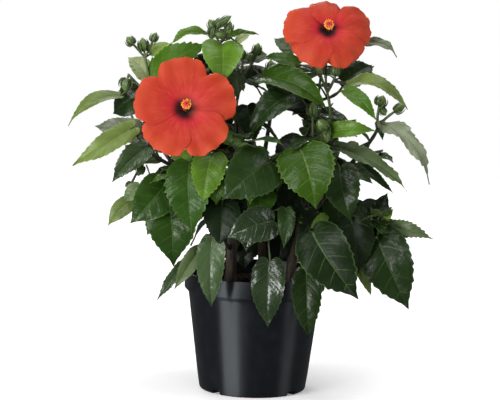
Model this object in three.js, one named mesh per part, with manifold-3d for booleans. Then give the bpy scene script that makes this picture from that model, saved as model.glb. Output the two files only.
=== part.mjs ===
// Hibiscus shrub in bloom, growing in a round nursery pot.
// Millimetres, +Z up, the front of the plant towards -Y.
// The origin is the centre of the pot's flat underside.
import * as THREE from 'three';
import Module from 'manifold-3d';

const wasm = await Module();
wasm.setup();
const { Manifold, Mesh: SolidMesh } = wasm;

// ------------------------------------------------------------ driving sizes

const GAP = 0.3;                       // clearance between neighbouring solids
const SLIVER = 0.12;                   // edges shorter than this are closed up after fusing

const POT = {
  height: 110, rimRadius: 65, band: 15.5, chamfer: 3.6, wallTop: 61.2, baseRadius: 49.5,
  foot: 2.5, wall: 1.6, floor: 7, sides: 40,
  channels: 4, channelAt: 47, channelWidth: 10, channelDepth: 4, padRadius: 20,
  drainAt: 34, drainRadius: 3.6,
};
const SOIL_TOP = 98;

const BLADE = {                        // one leaf blade, as shares of its length and width
  front: { along: [0.12, 0.42, 0.77], across: [0.80, 1.00, 0.60] },
  grown: { along: [0.20, 0.62], across: [1.00, 0.72] },
  plainUnder: 40,                      // shorter blades have the fewer rows too
  lobe: 0.09,                          // how far the base lobes reach back
  cup: 0.16,                           // how far the edges stand above the midrib
  thickness: 1.1,
};
const STALK = { root: 1.0, tip: 0.8, sunk: 0.14 };

const PETAL = {
  along: [0.08, 0.42, 0.80, 1.0],
  across: [0.86, 0.90, 0.96, 0.46],
  thickness: 1.3, funnel: 11,
};

const SHIFTS = [0, -4, 4, -8, 8, -12, 12, -17, 17, -22, 22];
const TRIES = 9;
const FOOT_CLEAR = 5;
const SEEDLING = 17;                   // leaves shorter than this have no solid

const CROWN = { centre: [-4, 12, 215], reach: [172, 132, 165] };
const SIGHT_SLOPE = 0.19;              // the crown's openings are seen from a little above

// ------------------------------------------------------------ the limbs, root to tip
// name: [points, radius at the foot, radius at the tip]

const TRUNKS = {
  trunk_left: [[[-22, -5, SOIL_TOP + GAP], [-22, -6, 122], [-21, -7, 143], [-22, -8, 162]], 5.4, 4.3],
  trunk_middle: [[[7, 16, SOIL_TOP + GAP], [6, 15, 125], [4, 10, 154], [2, 6, 180]], 4.0, 3.0],
  trunk_right: [[[32, 9, SOIL_TOP + GAP], [35, 7, 120], [39, 4, 137], [42, 0, 154]], 4.9, 4.0],
};
const FLARE = { height: 12, spread: 1.35 };

const BOUGHS = {
  bough_left_low: [[[-22, -8, 160], [-37, -14, 169], [-54, -24, 175], [-66, -32, 183]], 2.4, 1.9],
  bough_left_up: [[[-22, -8, 160], [-41, 2, 178], [-59, 2, 191], [-74, -4, 204]], 2.7, 2.1],
  bough_left_top: [[[-22, -8, 160], [-18, 4, 187], [-18, 8, 210], [-20, 5, 231]], 3.0, 2.2],
  bough_left_back: [[[-22, -8, 152], [-46, 16, 170], [-68, 34, 190], [-84, 44, 208]], 2.3, 1.8],
  bough_front_left: [[[-22, -6, 130], [-30, -26, 141], [-36, -48, 152]], 2.0, 1.6],
  bough_middle_front: [[[4, 10, 154], [6, -10, 158], [8, -30, 162]], 2.2, 1.8],
  bough_middle_up: [[[2, 6, 178], [1, -6, 187], [0, -18, 197]], 2.4, 2.0],
  bough_back_left: [[[2, 6, 178], [-16, 32, 198], [-32, 56, 220]], 2.4, 1.9],
  bough_back_right: [[[2, 6, 178], [24, 34, 200], [44, 58, 224]], 2.4, 1.9],
  bough_back_low: [[[6, 15, 128], [4, 44, 140], [2, 70, 156]], 2.2, 1.8],
  bough_back_top: [[[2, 6, 178], [6, 20, 214], [10, 30, 244]], 2.3, 1.8],
  bough_right_main: [[[42, 0, 152], [53, -2, 178], [61, -4, 197], [66, -6, 211]], 3.0, 2.3],
  bough_right_inner: [[[42, 0, 152], [46, -6, 172], [50, -10, 192], [50, -13, 208]], 2.2, 1.8],
  bough_right_outer: [[[42, 0, 152], [62, 8, 178], [80, 11, 202], [96, 8, 223]], 2.6, 2.0],
  bough_right_back: [[[42, 0, 150], [60, 26, 168], [78, 46, 184]], 2.3, 1.8],
  bough_right_low: [[[39, 4, 138], [57, -12, 148], [72, -24, 153], [86, -30, 154]], 2.3, 1.9],
  bough_front_right: [[[36, 6, 124], [40, -18, 130], [43, -42, 134]], 1.9, 1.5],
};

// ------------------------------------------------------------ the masses of foliage
// stem: points, and side: further stems that fork from it.
// leaf rows: x, y, z of the blade's root, heading (0 = front, 90 = right), pitch, length, width,
//            lean of the face to the front, and how far the blade arches if not evenly.
// buds: x, y, z, radius, length.   grown: leaves and twigs added by the seeded rule.

const MASSES = {
  leaves_upper_left: {
    stem: [[-74, -4, 204], [-85, -8, 238], [-94, -8, 267], [-101, -8, 288], [-105, -8, 306]],
    side: [[[-94, -8, 267], [-112, -7, 282], [-120, -6, 290]]],
    leaf: [
      [-96, -12, 286, 78, 37, 59, 36, 45], [-101, -6, 309, 123, 23, 24, 13, 40],
      [-97, -14, 286, 107, 50, 21, 10, 60], [-102, -6, 290, -117, 23, 24, 12, 50],
      [-128, -2, 270, -76, -29, 55, 28, 25, 0.16], [-108, 0, 272, -117, -34, 37, 26, 60],
    ],
    bud: [[-121, -7, 321, 4, 9], [-109, -8, 318, 3, 8], [-99, -8, 322, 3, 9], [-122, -8, 281, 5.5, 11]],
    grown: { leaves: 4, twigs: 0, facing: 150, spread: 60 },
  },
  leaves_left_outer: {
    stem: [[-74, -4, 204], [-90, -14, 214], [-100, -20, 222], [-110, -22, 235]],
    side: [],
    leaf: [
      [-104, -6, 243, -100, 2, 42, 27, 75], [-110, -26, 246, -82, -33, 70, 32, 66],
      [-98, -26, 223, -69, -43, 45, 24, 70], [-89, -18, 212, -110, -14, 30, 13, 50],
      [-78, -22, 205, -71, -30, 22, 14, 60], [-71, -34, 223, 22, -34, 23, 18, 60],
    ],
    bud: [[-107, -24, 204, 3.5, 10], [-116, -28, 190, 3.5, 8]],
    grown: { leaves: 3, twigs: 0, facing: 180, spread: 60 },
  },
  leaves_left_low: {
    stem: [[-66, -32, 183], [-77, -42, 191], [-88, -46, 196], [-97, -46, 198]],
    side: [],
    leaf: [
      [-82, -50, 197, -63, -45, 49, 34, 80], [-113, -34, 176, -75, -44, 32, 20, 60],
      [-106, -44, 193, -105, -46, 22, 14, 60], [-81, -40, 180, -78, -60, 37, 24, 70],
      [-78, -58, 181, 12, -72, 57, 40, 88], [-63, -40, 193, -60, -59, 31, 26, 80],
    ],
    bud: [],
    grown: { leaves: 2, twigs: 0, facing: 200, spread: 50 },
  },
  leaves_top_left: {
    stem: [[-20, 5, 231], [-21, 0, 262], [-18, -2, 281], [-16, -2, 304]],
    side: [
      [[-21, 2, 248], [-29, -4, 271], [-36, -10, 299], [-38, -12, 320], [-43, -12, 334]],
      [[-17, -2, 290], [-9, -3, 300], [-4, -4, 310]],
      [[-38, -12, 320], [-31, -10, 328]],
    ],
    leaf: [
      [-50, -14, 330, -73, -16, 35, 24, 35, 0.2], [-29, -12, 329, 86, 6, 27, 11, 40],
      [-22, -4, 322, 122, 25, 16, 8, 50], [-35, -16, 321, 1, -48, 45, 42, 60],
      [-46, -8, 305, -102, -24, 20, 16, 60], [-8, -2, 306, 124, 16, 18, 14, 50],
      [-18, 0, 292, -125, -56, 31, 18, 70], [-13, 0, 287, 117, 12, 32, 22, 45],
      [2, -10, 291, 60, -19, 73, 34, 42, 0.13],
    ],
    bud: [[-45, -12, 338, 3.6, 10], [-38, -13, 340, 3.4, 10], [-33, -13, 342, 3.2, 14], [-29, -10, 336, 3.6, 10],
          [-16, -2, 311, 3.4, 9], [-3, -4, 316, 3.8, 11], [-9, -6, 309, 3.2, 9]],
    grown: { leaves: 6, twigs: 0, facing: 170, spread: 80 },
  },
  leaves_centre: {
    stem: [[0, -18, 197], [-1, -30, 206], [0, -37, 218], [4, -38, 228]],
    side: [[[-1, -30, 206], [-20, -40, 218], [-38, -46, 228]]],
    leaf: [
      [-61, -56, 217, 8, -65, 66, 32, 80], [-41, -52, 225, -14, -53, 51, 26, 80],
      [-39, -58, 213, 10, -63, 35, 26, 85], [-31, -56, 183, -7, -70, 41, 32, 85],
      [4, -40, 193, -11, -47, 36, 28, 80], [4, -40, 193, -62, -15, 40, 26, 70],
      [11, -46, 219, -58, -33, 59, 46, 75], [9, -44, 222, -67, 13, 46, 12, 60],
    ],
    bud: [],
    grown: { leaves: 2, twigs: 0, facing: 180, spread: 70 },
  },
  leaves_centre_right: {
    stem: [[50, -13, 208], [50, -16, 232], [49, -19, 258]],
    side: [[[50, -15, 224], [58, -19, 238], [61, -21, 246]]],
    leaf: [
      [34, -34, 278, -61, -36, 62, 34, 42, 0.22], [41, -50, 231, 27, -57, 58, 50, 88],
      [42, -28, 240, -110, -16, 40, 36, 60], [39, -20, 192, -61, -53, 34, 28, 70],
    ],
    bud: [[49, -20, 264, 5, 13], [58, -24, 250, 6, 14], [62, -26, 240, 4.5, 12]],
    grown: { leaves: 3, twigs: 0, facing: 180, spread: 70 },
  },
  leaves_right_top: {
    stem: [[66, -6, 211], [65, -10, 233], [65, -12, 262], [61, -12, 283], [60, -12, 294]],
    side: [[[62, -12, 279], [57, -13, 290], [55, -14, 296]], [[62, -12, 279], [67, -13, 289], [69, -14, 296]]],
    leaf: [
      [36, -14, 300, -106, 14, 37, 26, 50], [31, 10, 313, -123, 27, 25, 16, 50],
      [48, -10, 266, -128, 7, 56, 32, 45], [78, -6, 288, 129, 25, 36, 26, 50],
      [75, 0, 291, 114, -9, 25, 18, 60], [80, -16, 285, 72, -17, 60, 27, 36, 0.20], [95, 6, 322, 90, -23, 33, 18, 50],
      [75, -20, 281, 57, -37, 41, 26, 60], [54, -6, 258, 64, -9, 33, 20, 40],
      [65, -20, 245, 61, 2, 41, 24, 50, 0.15], [75, 0, 241, 120, -13, 20, 14, 50],
      [72, -14, 229, 70, -26, 77, 24, 40, 0.08], [76, -36, 214, 30, -64, 52, 33, 85],
      [87, -10, 211, 57, -32, 26, 18, 70], [71, -20, 214, 90, -30, 18, 12, 60],
    ],
    bud: [[54, -14, 300, 3.8, 11], [69, -14, 300, 4, 11]],
    grown: { leaves: 4, twigs: 0, facing: 180, spread: 60 },
  },
  leaves_right_outer: {
    stem: [[96, 8, 223], [103, 6, 232], [109, 2, 244], [109, 0, 256], [110, 0, 266]],
    side: [[[109, 1, 247], [118, 0, 256], [124, -1, 261]]],
    leaf: [
      [85, 2, 223, 63, -6, 31, 18, 50], [91, 12, 225, -133, 9, 15, 12, 50],
      [97, 4, 210, 67, -36, 39, 13, 60], [112, -2, 250, 60, -44, 67, 27, 45, 0.31],
      [111, -2, 250, 17, -50, 20, 13, 70],
    ],
    bud: [[112, 0, 271, 5, 10], [129, -1, 265, 4, 12], [114, -2, 261, 3.2, 8]],
    grown: { leaves: 2, twigs: 0, facing: 200, spread: 60 },
  },
  leaves_right_low: {
    stem: [[86, -30, 154], [99, -35, 158], [111, -36, 161], [119, -36, 163]],
    side: [],
    leaf: [
      [104, -28, 160, 110, 66, 32, 22, 60], [117, -38, 167, 48, 49, 14, 8, 70],
      [119, -38, 160, 68, -13, 44, 22, 62], [107, -52, 156, 55, -60, 75, 47, 85], [96, -22, 178, 20, -60, 42, 36, 80],
      [81, -20, 172, 111, -24, 32, 26, 60], [93, -60, 124, 81, -62, 27, 13, 70],
    ],
    bud: [],
    grown: { leaves: 3, twigs: 0, facing: 150, spread: 50 },
  },
  leaves_front_left: {
    stem: [[-36, -48, 152], [-39, -60, 155], [-40, -70, 157]],
    side: [],
    leaf: [
      [-39, -80, 151, 4, -81, 63, 30, 85], [-50, -66, 139, -51, -50, 44, 24, 75],
      [-63, -44, 124, -61, -49, 44, 16, 60],
    ],
    bud: [],
    grown: { leaves: 0, twigs: 0, facing: 0, spread: 0 },
  },
  leaves_front_middle: {
    stem: [[8, -30, 162], [9, -44, 167], [8, -56, 172]],
    side: [],
    leaf: [
      [-6, -66, 173, -7, -55, 39, 31, 70], [26, -60, 178, -3, -62, 38, 17, 85],
      [13, -78, 133, -2, -78, 60, 36, 88],
    ],
    bud: [],
    grown: { leaves: 0, twigs: 0, facing: 0, spread: 0 },
  },
  leaves_front_right: {
    stem: [[43, -42, 134], [44, -52, 137], [45, -60, 139]],
    side: [],
    leaf: [
      [46, -70, 124, 15, -78, 61, 32, 85], [56, -34, 172, -58, -49, 29, 24, 70],
      [63, -50, 171, -61, -34, 20, 9, 70], [56, -64, 157, 57, -50, 70, 48, 78],
    ],
    bud: [],
    grown: { leaves: 0, twigs: 0, facing: 0, spread: 0 },
  },
  leaves_left_back: {
    stem: [[-84, 44, 208], [-96, 52, 226], [-100, 56, 250]],
    side: [], leaf: [], bud: [[-101, 56, 256, 4, 10]],
    grown: { leaves: 9, twigs: 3, facing: 225, spread: 110 },
  },
  leaves_back_left: {
    stem: [[-32, 56, 220], [-44, 70, 248], [-48, 76, 284]],
    side: [], leaf: [], bud: [[-48, 76, 291, 4.5, 12]],
    grown: { leaves: 10, twigs: 4, facing: 195, spread: 130 },
  },
  leaves_back_right: {
    stem: [[44, 58, 224], [54, 74, 250], [58, 80, 286]],
    side: [], leaf: [], bud: [[58, 80, 293, 4.5, 12]],
    grown: { leaves: 10, twigs: 4, facing: 165, spread: 130 },
  },
  leaves_back_low: {
    stem: [[2, 70, 156], [0, 88, 166], [-2, 102, 184]],
    side: [],
    leaf: [
      [24, 46, 176, 20, -72, 60, 38, 80], [-12, 44, 172, -15, -72, 56, 36, 80],
      [6, 56, 188, 5, -60, 52, 36, 80], [30, 40, 150, 25, -62, 40, 36, 80],
      [-12, 38, 150, -20, -64, 42, 36, 80],
    ],
    bud: [],
    grown: { leaves: 10, twigs: 5, facing: 180, spread: 150 },
  },
  leaves_back_top: {
    stem: [[10, 30, 244], [12, 36, 266], [10, 38, 290]],
    side: [], leaf: [], bud: [[10, 38, 297, 4, 11]],
    grown: { leaves: 8, twigs: 2, facing: 180, spread: 160 },
  },
  leaves_right_back: {
    stem: [[78, 46, 184], [92, 58, 196], [98, 66, 214]],
    side: [],
    leaf: [[82, 18, 188, 0, -68, 48, 36, 80], [62, 22, 190, -10, -70, 50, 30, 80]],
    bud: [],
    grown: { leaves: 9, twigs: 3, facing: 140, spread: 110 },
  },
};

// blooms: throat, heading and pitch of the axis, radius, each petal's middle clockwise from the
// top and its share of the radius, column, and the flower stalk from its shoot
const BLOOMS = {
  bloom_left: {
    throat: [-66, -66, 262], heading: 2, pitch: 18, radius: 49, column: 40,
    petals: [[71, 1], [143.7, 1], [214, 1], [282.7, 1], [353.8, 1]],
    stalk: [[-32, -5, 285], [-48, -14, 276], [-62, -34, 264], [-66, -52, 259]],
  },
  bloom_right: {
    throat: [61, -30, 333], heading: 4, pitch: 30, radius: 43, column: 28,
    petals: [[71, 0.98], [143.7, 0.86], [214, 0.86], [282.7, 0.98], [353.8, 0.86]],
    stalk: [[60, -12, 292], [60, -4, 308], [60, -8, 320], [61, -18, 328]],
  },
};

// openings that stay clear, seen from the front: x and height on the plane y = 0, and radius
const OPENINGS = [
  [-79, 177, 6], [-64, 160, 4], [-53, 137, 6], [-42, 140, 3.5], [-31, 124, 6], [42, 123, 9],
  [25, 250, 15], [4, 238, 7], [0, 277, 8], [-17, 256, 4], [78, 219, 7], [92, 236, 5], [84, 270, 9],
  [104, 272, 14], [138, 222, 13], [150, 255, 12], [102, 180, 8], [142, 170, 10], [-96, 203, 6],
  [116, 190, 5], [-46, 299, 5],
];
// the crown's edge seen the same way: x and height
const OUTLINE = [
  [-118, 296], [-122, 268], [-120, 252], [-140, 238], [-146, 222], [-128, 206], [-126, 170],
  [-106, 158], [-92, 142], [-78, 130], [-60, 120], [0, 110], [56, 110], [98, 104], [134, 112],
  [146, 150], [124, 172], [106, 172], [112, 196], [128, 208], [122, 224], [134, 246], [112, 262],
  [128, 276], [104, 318], [84, 340], [40, 330], [30, 308], [8, 300], [-10, 308], [-22, 330],
  [-60, 330], [-78, 318], [-100, 308],
];

// ------------------------------------------------------------ small tools

const V = (p) => new THREE.Vector3(...p);
const RAD = Math.PI / 180;

let seed = 20931;
function random() {
  seed = (seed * 16807) % 2147483647;
  return seed / 2147483647;
}

function direction(heading, pitch) {
  const flat = Math.cos(pitch * RAD);
  return V([Math.sin(heading * RAD) * flat, -Math.cos(heading * RAD) * flat, Math.sin(pitch * RAD)]);
}

// a smooth line through the points, with a step for every few millimetres
function smoothLine(points, step = 9) {
  const line = [];
  for (let i = 0; i + 1 < points.length; i += 1) {
    const [b, c] = [points[i], points[i + 1]];
    const a = points[i - 1] ?? b.clone().multiplyScalar(2).sub(c);
    const d = points[i + 2] ?? c.clone().multiplyScalar(2).sub(b);
    const steps = Math.max(1, Math.round(b.distanceTo(c) / step));
    for (let k = 0; k < steps; k += 1) {
      const t = k / steps;
      const weights = [-t + 2 * t * t - t ** 3, 2 - 5 * t * t + 3 * t ** 3,
        t + 4 * t * t - 3 * t ** 3, -t * t + t ** 3];
      const p = new THREE.Vector3();
      [a, b, c, d].forEach((q, j) => p.addScaledVector(q, weights[j] / 2));
      line.push(p);
    }
  }
  line.push(points.at(-1).clone());
  return line;
}

// a closed solid from corner points and faces
function solid(corners, faces) {
  const vertProperties = new Float32Array(corners.flatMap((p) => [p.x, p.y, p.z]));
  return new Manifold(new SolidMesh({ numProp: 3, vertProperties, triVerts: new Uint32Array(faces.flat()) }));
}

// a tapering limb along a line, or one with a radius at each point; a trunk's foot is cut level
function limb(line, rootRadius, tipRadius, sides, levelFoot = false, flare = null) {
  const corners = [];
  const faces = [];
  let across = null;
  line.forEach((p, i) => {
    const ahead = line[Math.min(i + 1, line.length - 1)].clone().sub(line[Math.max(i - 1, 0)]).normalize();
    if (levelFoot && i === 0) ahead.set(0, 0, 1);
    if (!across) across = Math.abs(ahead.x) < 0.9 ? V([1, 0, 0]) : V([0, 1, 0]);
    across = across.clone().addScaledVector(ahead, -across.dot(ahead)).normalize();
    const third = ahead.clone().cross(across);
    let radius = Array.isArray(rootRadius) ? rootRadius[i]
      : THREE.MathUtils.lerp(rootRadius, tipRadius, i / (line.length - 1));
    if (flare) radius *= 1 + (flare.spread - 1) * Math.max(0, 1 - (p.z - line[0].z) / flare.height) ** 2;
    for (let k = 0; k < sides; k += 1) {
      const a = (k / sides) * 2 * Math.PI;
      corners.push(p.clone().addScaledVector(across, Math.cos(a) * radius)
        .addScaledVector(third, Math.sin(a) * radius));
    }
  });
  const last = (line.length - 1) * sides;
  for (let k = 0; k < sides; k += 1) {
    const n = (k + 1) % sides;
    for (let r = 0; r < last; r += sides) {
      faces.push([r + k, r + n, r + sides + n], [r + k, r + sides + n, r + sides + k]);
    }
    if (k > 0 && k + 1 < sides) faces.push([0, k + 1, k], [last, last + k, last + k + 1]);
  }
  return solid(corners, faces);
}

// the same limb with its clearance all round
function clearance(line, rootRadius, tipRadius, sides) {
  const longer = line.map((p) => p.clone());
  longer[0].addScaledVector(longer[0].clone().sub(line[1]).normalize(), GAP);
  longer.at(-1).addScaledVector(longer.at(-1).clone().sub(line.at(-2)).normalize(), GAP);
  const corner = 1 / Math.cos(Math.PI / sides);
  return limb(longer, (rootRadius + GAP) * corner, (tipRadius + GAP) * corner, sides);
}

// a blade or petal: rows of left edge, upper and lower middle and right edge, from a flat root
// to the point of its tip. Every quad folds from its middle out to the next row's edge, alike
// above and below, so that the two skins never cross
function blade(rows, tip) {
  const corners = [...rows.flat(), tip];
  const faces = [];
  const [LEFT, UPPER, LOWER, RIGHT] = [0, 1, 2, 3];
  const TIP = corners.length - 1;
  const last = rows.length - 1;
  faces.push([UPPER, LEFT, LOWER], [UPPER, LOWER, RIGHT]);
  for (const [near, far] of [[UPPER, LEFT], [RIGHT, UPPER], [LEFT, LOWER], [LOWER, RIGHT]]) {
    const outward = near === UPPER || near === LOWER;
    for (let r = 0; r < last * 4; r += 4) {
      const [a, b, c, d] = [r + near, r + 4 + near, r + 4 + far, r + far];
      if (outward) faces.push([a, b, c], [a, c, d]);
      else faces.push([a, b, d], [b, c, d]);
    }
    faces.push([last * 4 + near, TIP, last * 4 + far]);
  }
  return solid(corners, faces);
}

// ------------------------------------------------------------ leaf, bud and bloom

function leafFrame(leaf) {
  const ahead = direction(leaf.heading, leaf.pitch);
  const face = leaf.towards.clone().multiplyScalar(Math.sin(leaf.lean * RAD));
  face.z += Math.cos(leaf.lean * RAD);
  face.addScaledVector(ahead, -face.dot(ahead)).normalize();
  const left = face.clone().cross(ahead);
  const place = (s, side, lift) => leaf.root.clone()
    .addScaledVector(ahead, leaf.length * s)
    .addScaledVector(left, side)
    .addScaledVector(face, lift + leaf.arch * leaf.length * 4 * s * (1 - s));
  return { ahead, face, left, place };
}

// where the leaf stalk leaves its shoot: low enough for the stalk to rise to the blade
function stalkFoot(leaf, shoots) {
  const score = (p) => {
    const flat = Math.hypot(leaf.root.x - p.x, leaf.root.y - p.y);
    return Math.hypot(flat, leaf.root.z - p.z - 0.4 * flat);
  };
  return shoots.flatMap((shoot) => shoot.slice(1)).reduce((a, b) => (score(a) <= score(b) ? a : b));
}

// stalk and blade in one: the stalk's four corners run on into the blade's edges and midrib.
// extra makes it that much larger, and clear leaves out that much of the stalk's foot
function leafSolid(leaf, foot, extra = 0, clear = 0) {
  const { ahead, left, place } = leafFrame(leaf);
  const rise = leaf.root.clone().sub(foot);
  const along = rise.clone().normalize();
  const collar = (p, d, radius) => {
    const side = left.clone().addScaledVector(d, -left.dot(d)).normalize();
    const top = d.clone().cross(side);
    return [p.clone().addScaledVector(side, radius), p.clone().addScaledVector(top, radius),
      p.clone().addScaledVector(top, -radius), p.clone().addScaledVector(side, -radius)];
  };
  const start = foot.clone().addScaledVector(along, Math.min(clear, rise.length() * 0.6));
  const rows = [
    collar(start, along, STALK.root + extra * 0.6),
    collar(leaf.root, along.clone().add(ahead).normalize(), STALK.tip + extra * 0.6),
  ];
  const { along: stations, across } = leaf.length < BLADE.plainUnder || leaf.grown ? BLADE.grown : BLADE.front;
  stations.forEach((s, i) => {
    const half = across[i] * leaf.width / 2 + extra;
    const edge = s - BLADE.lobe * 3 * (1 - s) ** 4;
    const thick = BLADE.thickness / 2 + extra;
    rows.push([place(edge, half, BLADE.cup * half), place(s, 0, thick), place(s, 0, -thick),
      place(edge, -half, BLADE.cup * half)]);
  });
  return blade(rows, place(1, 0, 0));
}

function bud(tip, radius, length, shoots) {
  const from = shoots.flat().reduce((a, b) => (a.distanceTo(tip) < b.distanceTo(tip) ? a : b));
  const ahead = tip.clone().sub(from).normalize();
  const line = [-0.5, -0.2, 0.25, 0.5].map((s) => tip.clone().addScaledVector(ahead, s * length));
  return limb([from, ...line], [1.1, ...[0.35, 1, 0.8, 0.15].map((share) => share * radius)], 0, 5);
}

function bloomSolids(bloom) {
  const axis = direction(bloom.heading, bloom.pitch);
  const across = V([0, 0, 1]).cross(axis).normalize();        // to the right, seen from the front
  const up = axis.clone().cross(across);
  const throat = V(bloom.throat);
  const at = (a, r, lift) => throat.clone().addScaledVector(across, Math.sin(a * RAD) * r)
    .addScaledVector(up, Math.cos(a * RAD) * r).addScaledVector(axis, lift);
  const parts = bloom.petals.map(([middle, share], k) => {
    const R = bloom.radius * share;
    const twist = 0.8 + 0.5 * (k % 2);                         // neighbours lie over each other
    const lift = (s, side) => -PETAL.funnel * (1 - s) ** 2 - 3 * s ** 4 + twist * 1.6 * side * s;
    const rows = PETAL.along.map((s, i) => {
      const half = PETAL.across[i] * 47;
      const r = R * s;
      const edgeR = r * (s > 0.95 ? 0.97 : 1);
      return [at(middle - half, edgeR, lift(s, 1)), at(middle, r, lift(s, 0) + PETAL.thickness / 2),
        at(middle, r, lift(s, 0) - PETAL.thickness / 2), at(middle + half, edgeR, lift(s, -1))];
    });
    return blade(rows, at(middle, R * 1.01, lift(1, 0)));
  });
  // calyx, throat, column, anthers and stigma, back to front
  const { funnel } = PETAL;
  const length = bloom.column;
  const core = [[-funnel - 14, 2.8], [-funnel + 1, 6.4], [-funnel + 6, 2.4], [length - 12, 1.7],
    [length - 9, 3.4], [length - 1, 4.4], [length + 1.5, 2.4]];
  parts.push(limb(core.map(([lift]) => at(0, 0, lift)), core.map(([, radius]) => radius), 0, 7));
  parts.push(limb(smoothLine([...bloom.stalk.map(V), at(0, 0, -funnel - 8)], 14), 1.5, 1.6, 4));
  return parts;
}

// ------------------------------------------------------------ pot and soil

function lathe(profile, sides) {
  const points = profile.map(([r, z]) => new THREE.Vector2(r, z));
  const shape = new THREE.LatheGeometry(points, sides).rotateX(Math.PI / 2);
  return fromGeometry(shape);
}

function fromGeometry(shape) {
  const position = shape.attributes.position;
  const corners = [];
  const known = new Map();
  const same = [...Array(position.count).keys()].map((i) => {
    const p = new THREE.Vector3().fromBufferAttribute(position, i);
    const key = [p.x, p.y, p.z].map((c) => Math.round(c * 1e4)).join();
    if (!known.has(key)) known.set(key, corners.push(p) - 1);
    return known.get(key);
  });
  const faces = [];
  for (let i = 0; i < shape.index.count; i += 3) {
    const [a, b, c] = [0, 1, 2].map((k) => same[shape.index.getX(i + k)]);
    if (a !== b && b !== c && c !== a) faces.push([a, b, c]);
  }
  return solid(corners, faces);
}

function wallRadius(z) {
  return THREE.MathUtils.lerp(POT.baseRadius, POT.wallTop, z / (POT.height - POT.band - POT.chamfer));
}

function makePot() {
  const { height, rimRadius, band, chamfer, baseRadius, foot, wall, floor } = POT;
  const bandFoot = height - band;
  const round = [0, 45, 90].map((a) => [
    baseRadius - foot + foot * Math.sin(a * RAD), foot - foot * Math.cos(a * RAD)]);
  const profile = [
    [0, 0], ...round, [wallRadius(bandFoot - chamfer), bandFoot - chamfer], [rimRadius, bandFoot],
    [rimRadius, height - 0.8], [rimRadius - 0.8, height], [rimRadius - wall, height],
    [wallRadius(bandFoot) - wall, bandFoot - 2], [baseRadius - wall, floor], [0, floor],
  ];
  let pot = lathe(profile, POT.sides);
  for (let k = 0; k < POT.channels; k += 1) {
    const turn = (POT.channelAt + (k * 360) / POT.channels) * RAD;
    const length = rimRadius - POT.padRadius;
    const channel = new THREE.BoxGeometry(POT.channelWidth, length, POT.channelDepth * 2)
      .translate(0, -POT.padRadius - length / 2, 0).rotateZ(turn);
    const drain = new THREE.CylinderGeometry(POT.drainRadius, POT.drainRadius, floor * 3, 12)
      .rotateX(Math.PI / 2).translate(0, -POT.drainAt, 0).rotateZ(turn);
    pot = pot.subtract(fromGeometry(channel)).subtract(fromGeometry(drain));
  }
  return pot;
}

function makeSoil() {
  const bandFoot = POT.height - POT.band - 2;
  const inner = POT.wall + GAP;
  const slope = (POT.rimRadius - wallRadius(POT.height - POT.band)) / (POT.height - bandFoot);
  const top = wallRadius(POT.height - POT.band) - inner + slope * (SOIL_TOP - bandFoot);
  return lathe([
    [0, POT.floor + GAP], [POT.baseRadius - inner, POT.floor + GAP],
    [wallRadius(POT.height - POT.band) - inner, bandFoot], [top - 0.4, SOIL_TOP - 0.5],
    [top - 3, SOIL_TOP], [0, SOIL_TOP],
  ], POT.sides);
}

// ------------------------------------------------------------ growing the shrub

const nodes = [];                       // { name, parts, solid, box }
const keepClear = [];                   // [node, limb with its clearance]
const standing = [];                    // everything grown so far: { node, solid, box }

const boxOf = (shape) => {
  const { min, max } = shape.boundingBox();
  return new THREE.Box3(V([...min]), V([...max]));
};

// whether a shape meets what stands already in other nodes
function touches(shape, node) {
  const box = boxOf(shape);
  return standing.some((other) => other.node !== node && other.box.intersectsBox(box)
    && other.solid.intersect(shape).volume() > 1e-4);
}

// whether a leaf meets another leaf or a stem of its own node, stalk feet left aside
function crossesOwn(shape, node) {
  const box = boxOf(shape);
  return standing.some((other) => other.node === node && other.box.intersectsBox(box)
    && (other.leaf ?? other.solid).intersect(shape).volume() > 1e-4);
}

function stand(node, shape, leaf = null) {
  standing.push({ node, solid: shape, leaf, box: boxOf(shape).expandByScalar(GAP) });
  return shape;
}

function seenFromFront(p) {
  return [p.x, p.z + p.y * SIGHT_SLOPE];
}

function insideOutline([x, z]) {
  let inside = false;
  OUTLINE.forEach(([x1, z1], i) => {
    const [x2, z2] = OUTLINE[(i + 1) % OUTLINE.length];
    if ((z1 > z) !== (z2 > z) && x < ((x2 - x1) * (z - z1)) / (z2 - z1) + x1) inside = !inside;
  });
  return inside;
}

// a grown leaf keeps inside the crown and clear of its openings
function hasRoom(leaf) {
  const { place } = leafFrame(leaf);
  const half = leaf.width / 2;
  return [0, 0.25, 0.5, 0.75, 1].every((s) => [-0.8, 0, 0.8].every((side) => {
    const p = place(s, side * half * Math.sin(Math.PI * Math.min(s + 0.15, 1)), 0);
    const inCrown = CROWN.centre.reduce((sum, c, k) => (
      sum + ((p.getComponent(k) - c) / CROWN.reach[k]) ** 2), 0) < 1;
    const [x, z] = seenFromFront(p);
    return inCrown && insideOutline([x, z])
      && OPENINGS.every(([ox, oz, r]) => Math.hypot(x - ox, z - oz) > r);
  }));
}

// a leaf that would meet another is moved to the front or back by the shifts, and else skipped
function addLeaf(mass, leaf, shoots, shifts, apart) {
  for (const shift of shifts) {
    const moved = { ...leaf, root: leaf.root.clone().add(V([0, shift, 0])) };
    const foot = stalkFoot(moved, shoots);
    if (touches(leafSolid(moved, foot, 0.5), mass.name)) continue;
    const open = leafSolid(moved, foot, 0.3, FOOT_CLEAR);
    if (apart && crossesOwn(open, mass.name)) continue;
    mass.parts.push(stand(mass.name, leafSolid(moved, foot), open));
    return true;
  }
  return false;
}

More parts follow.
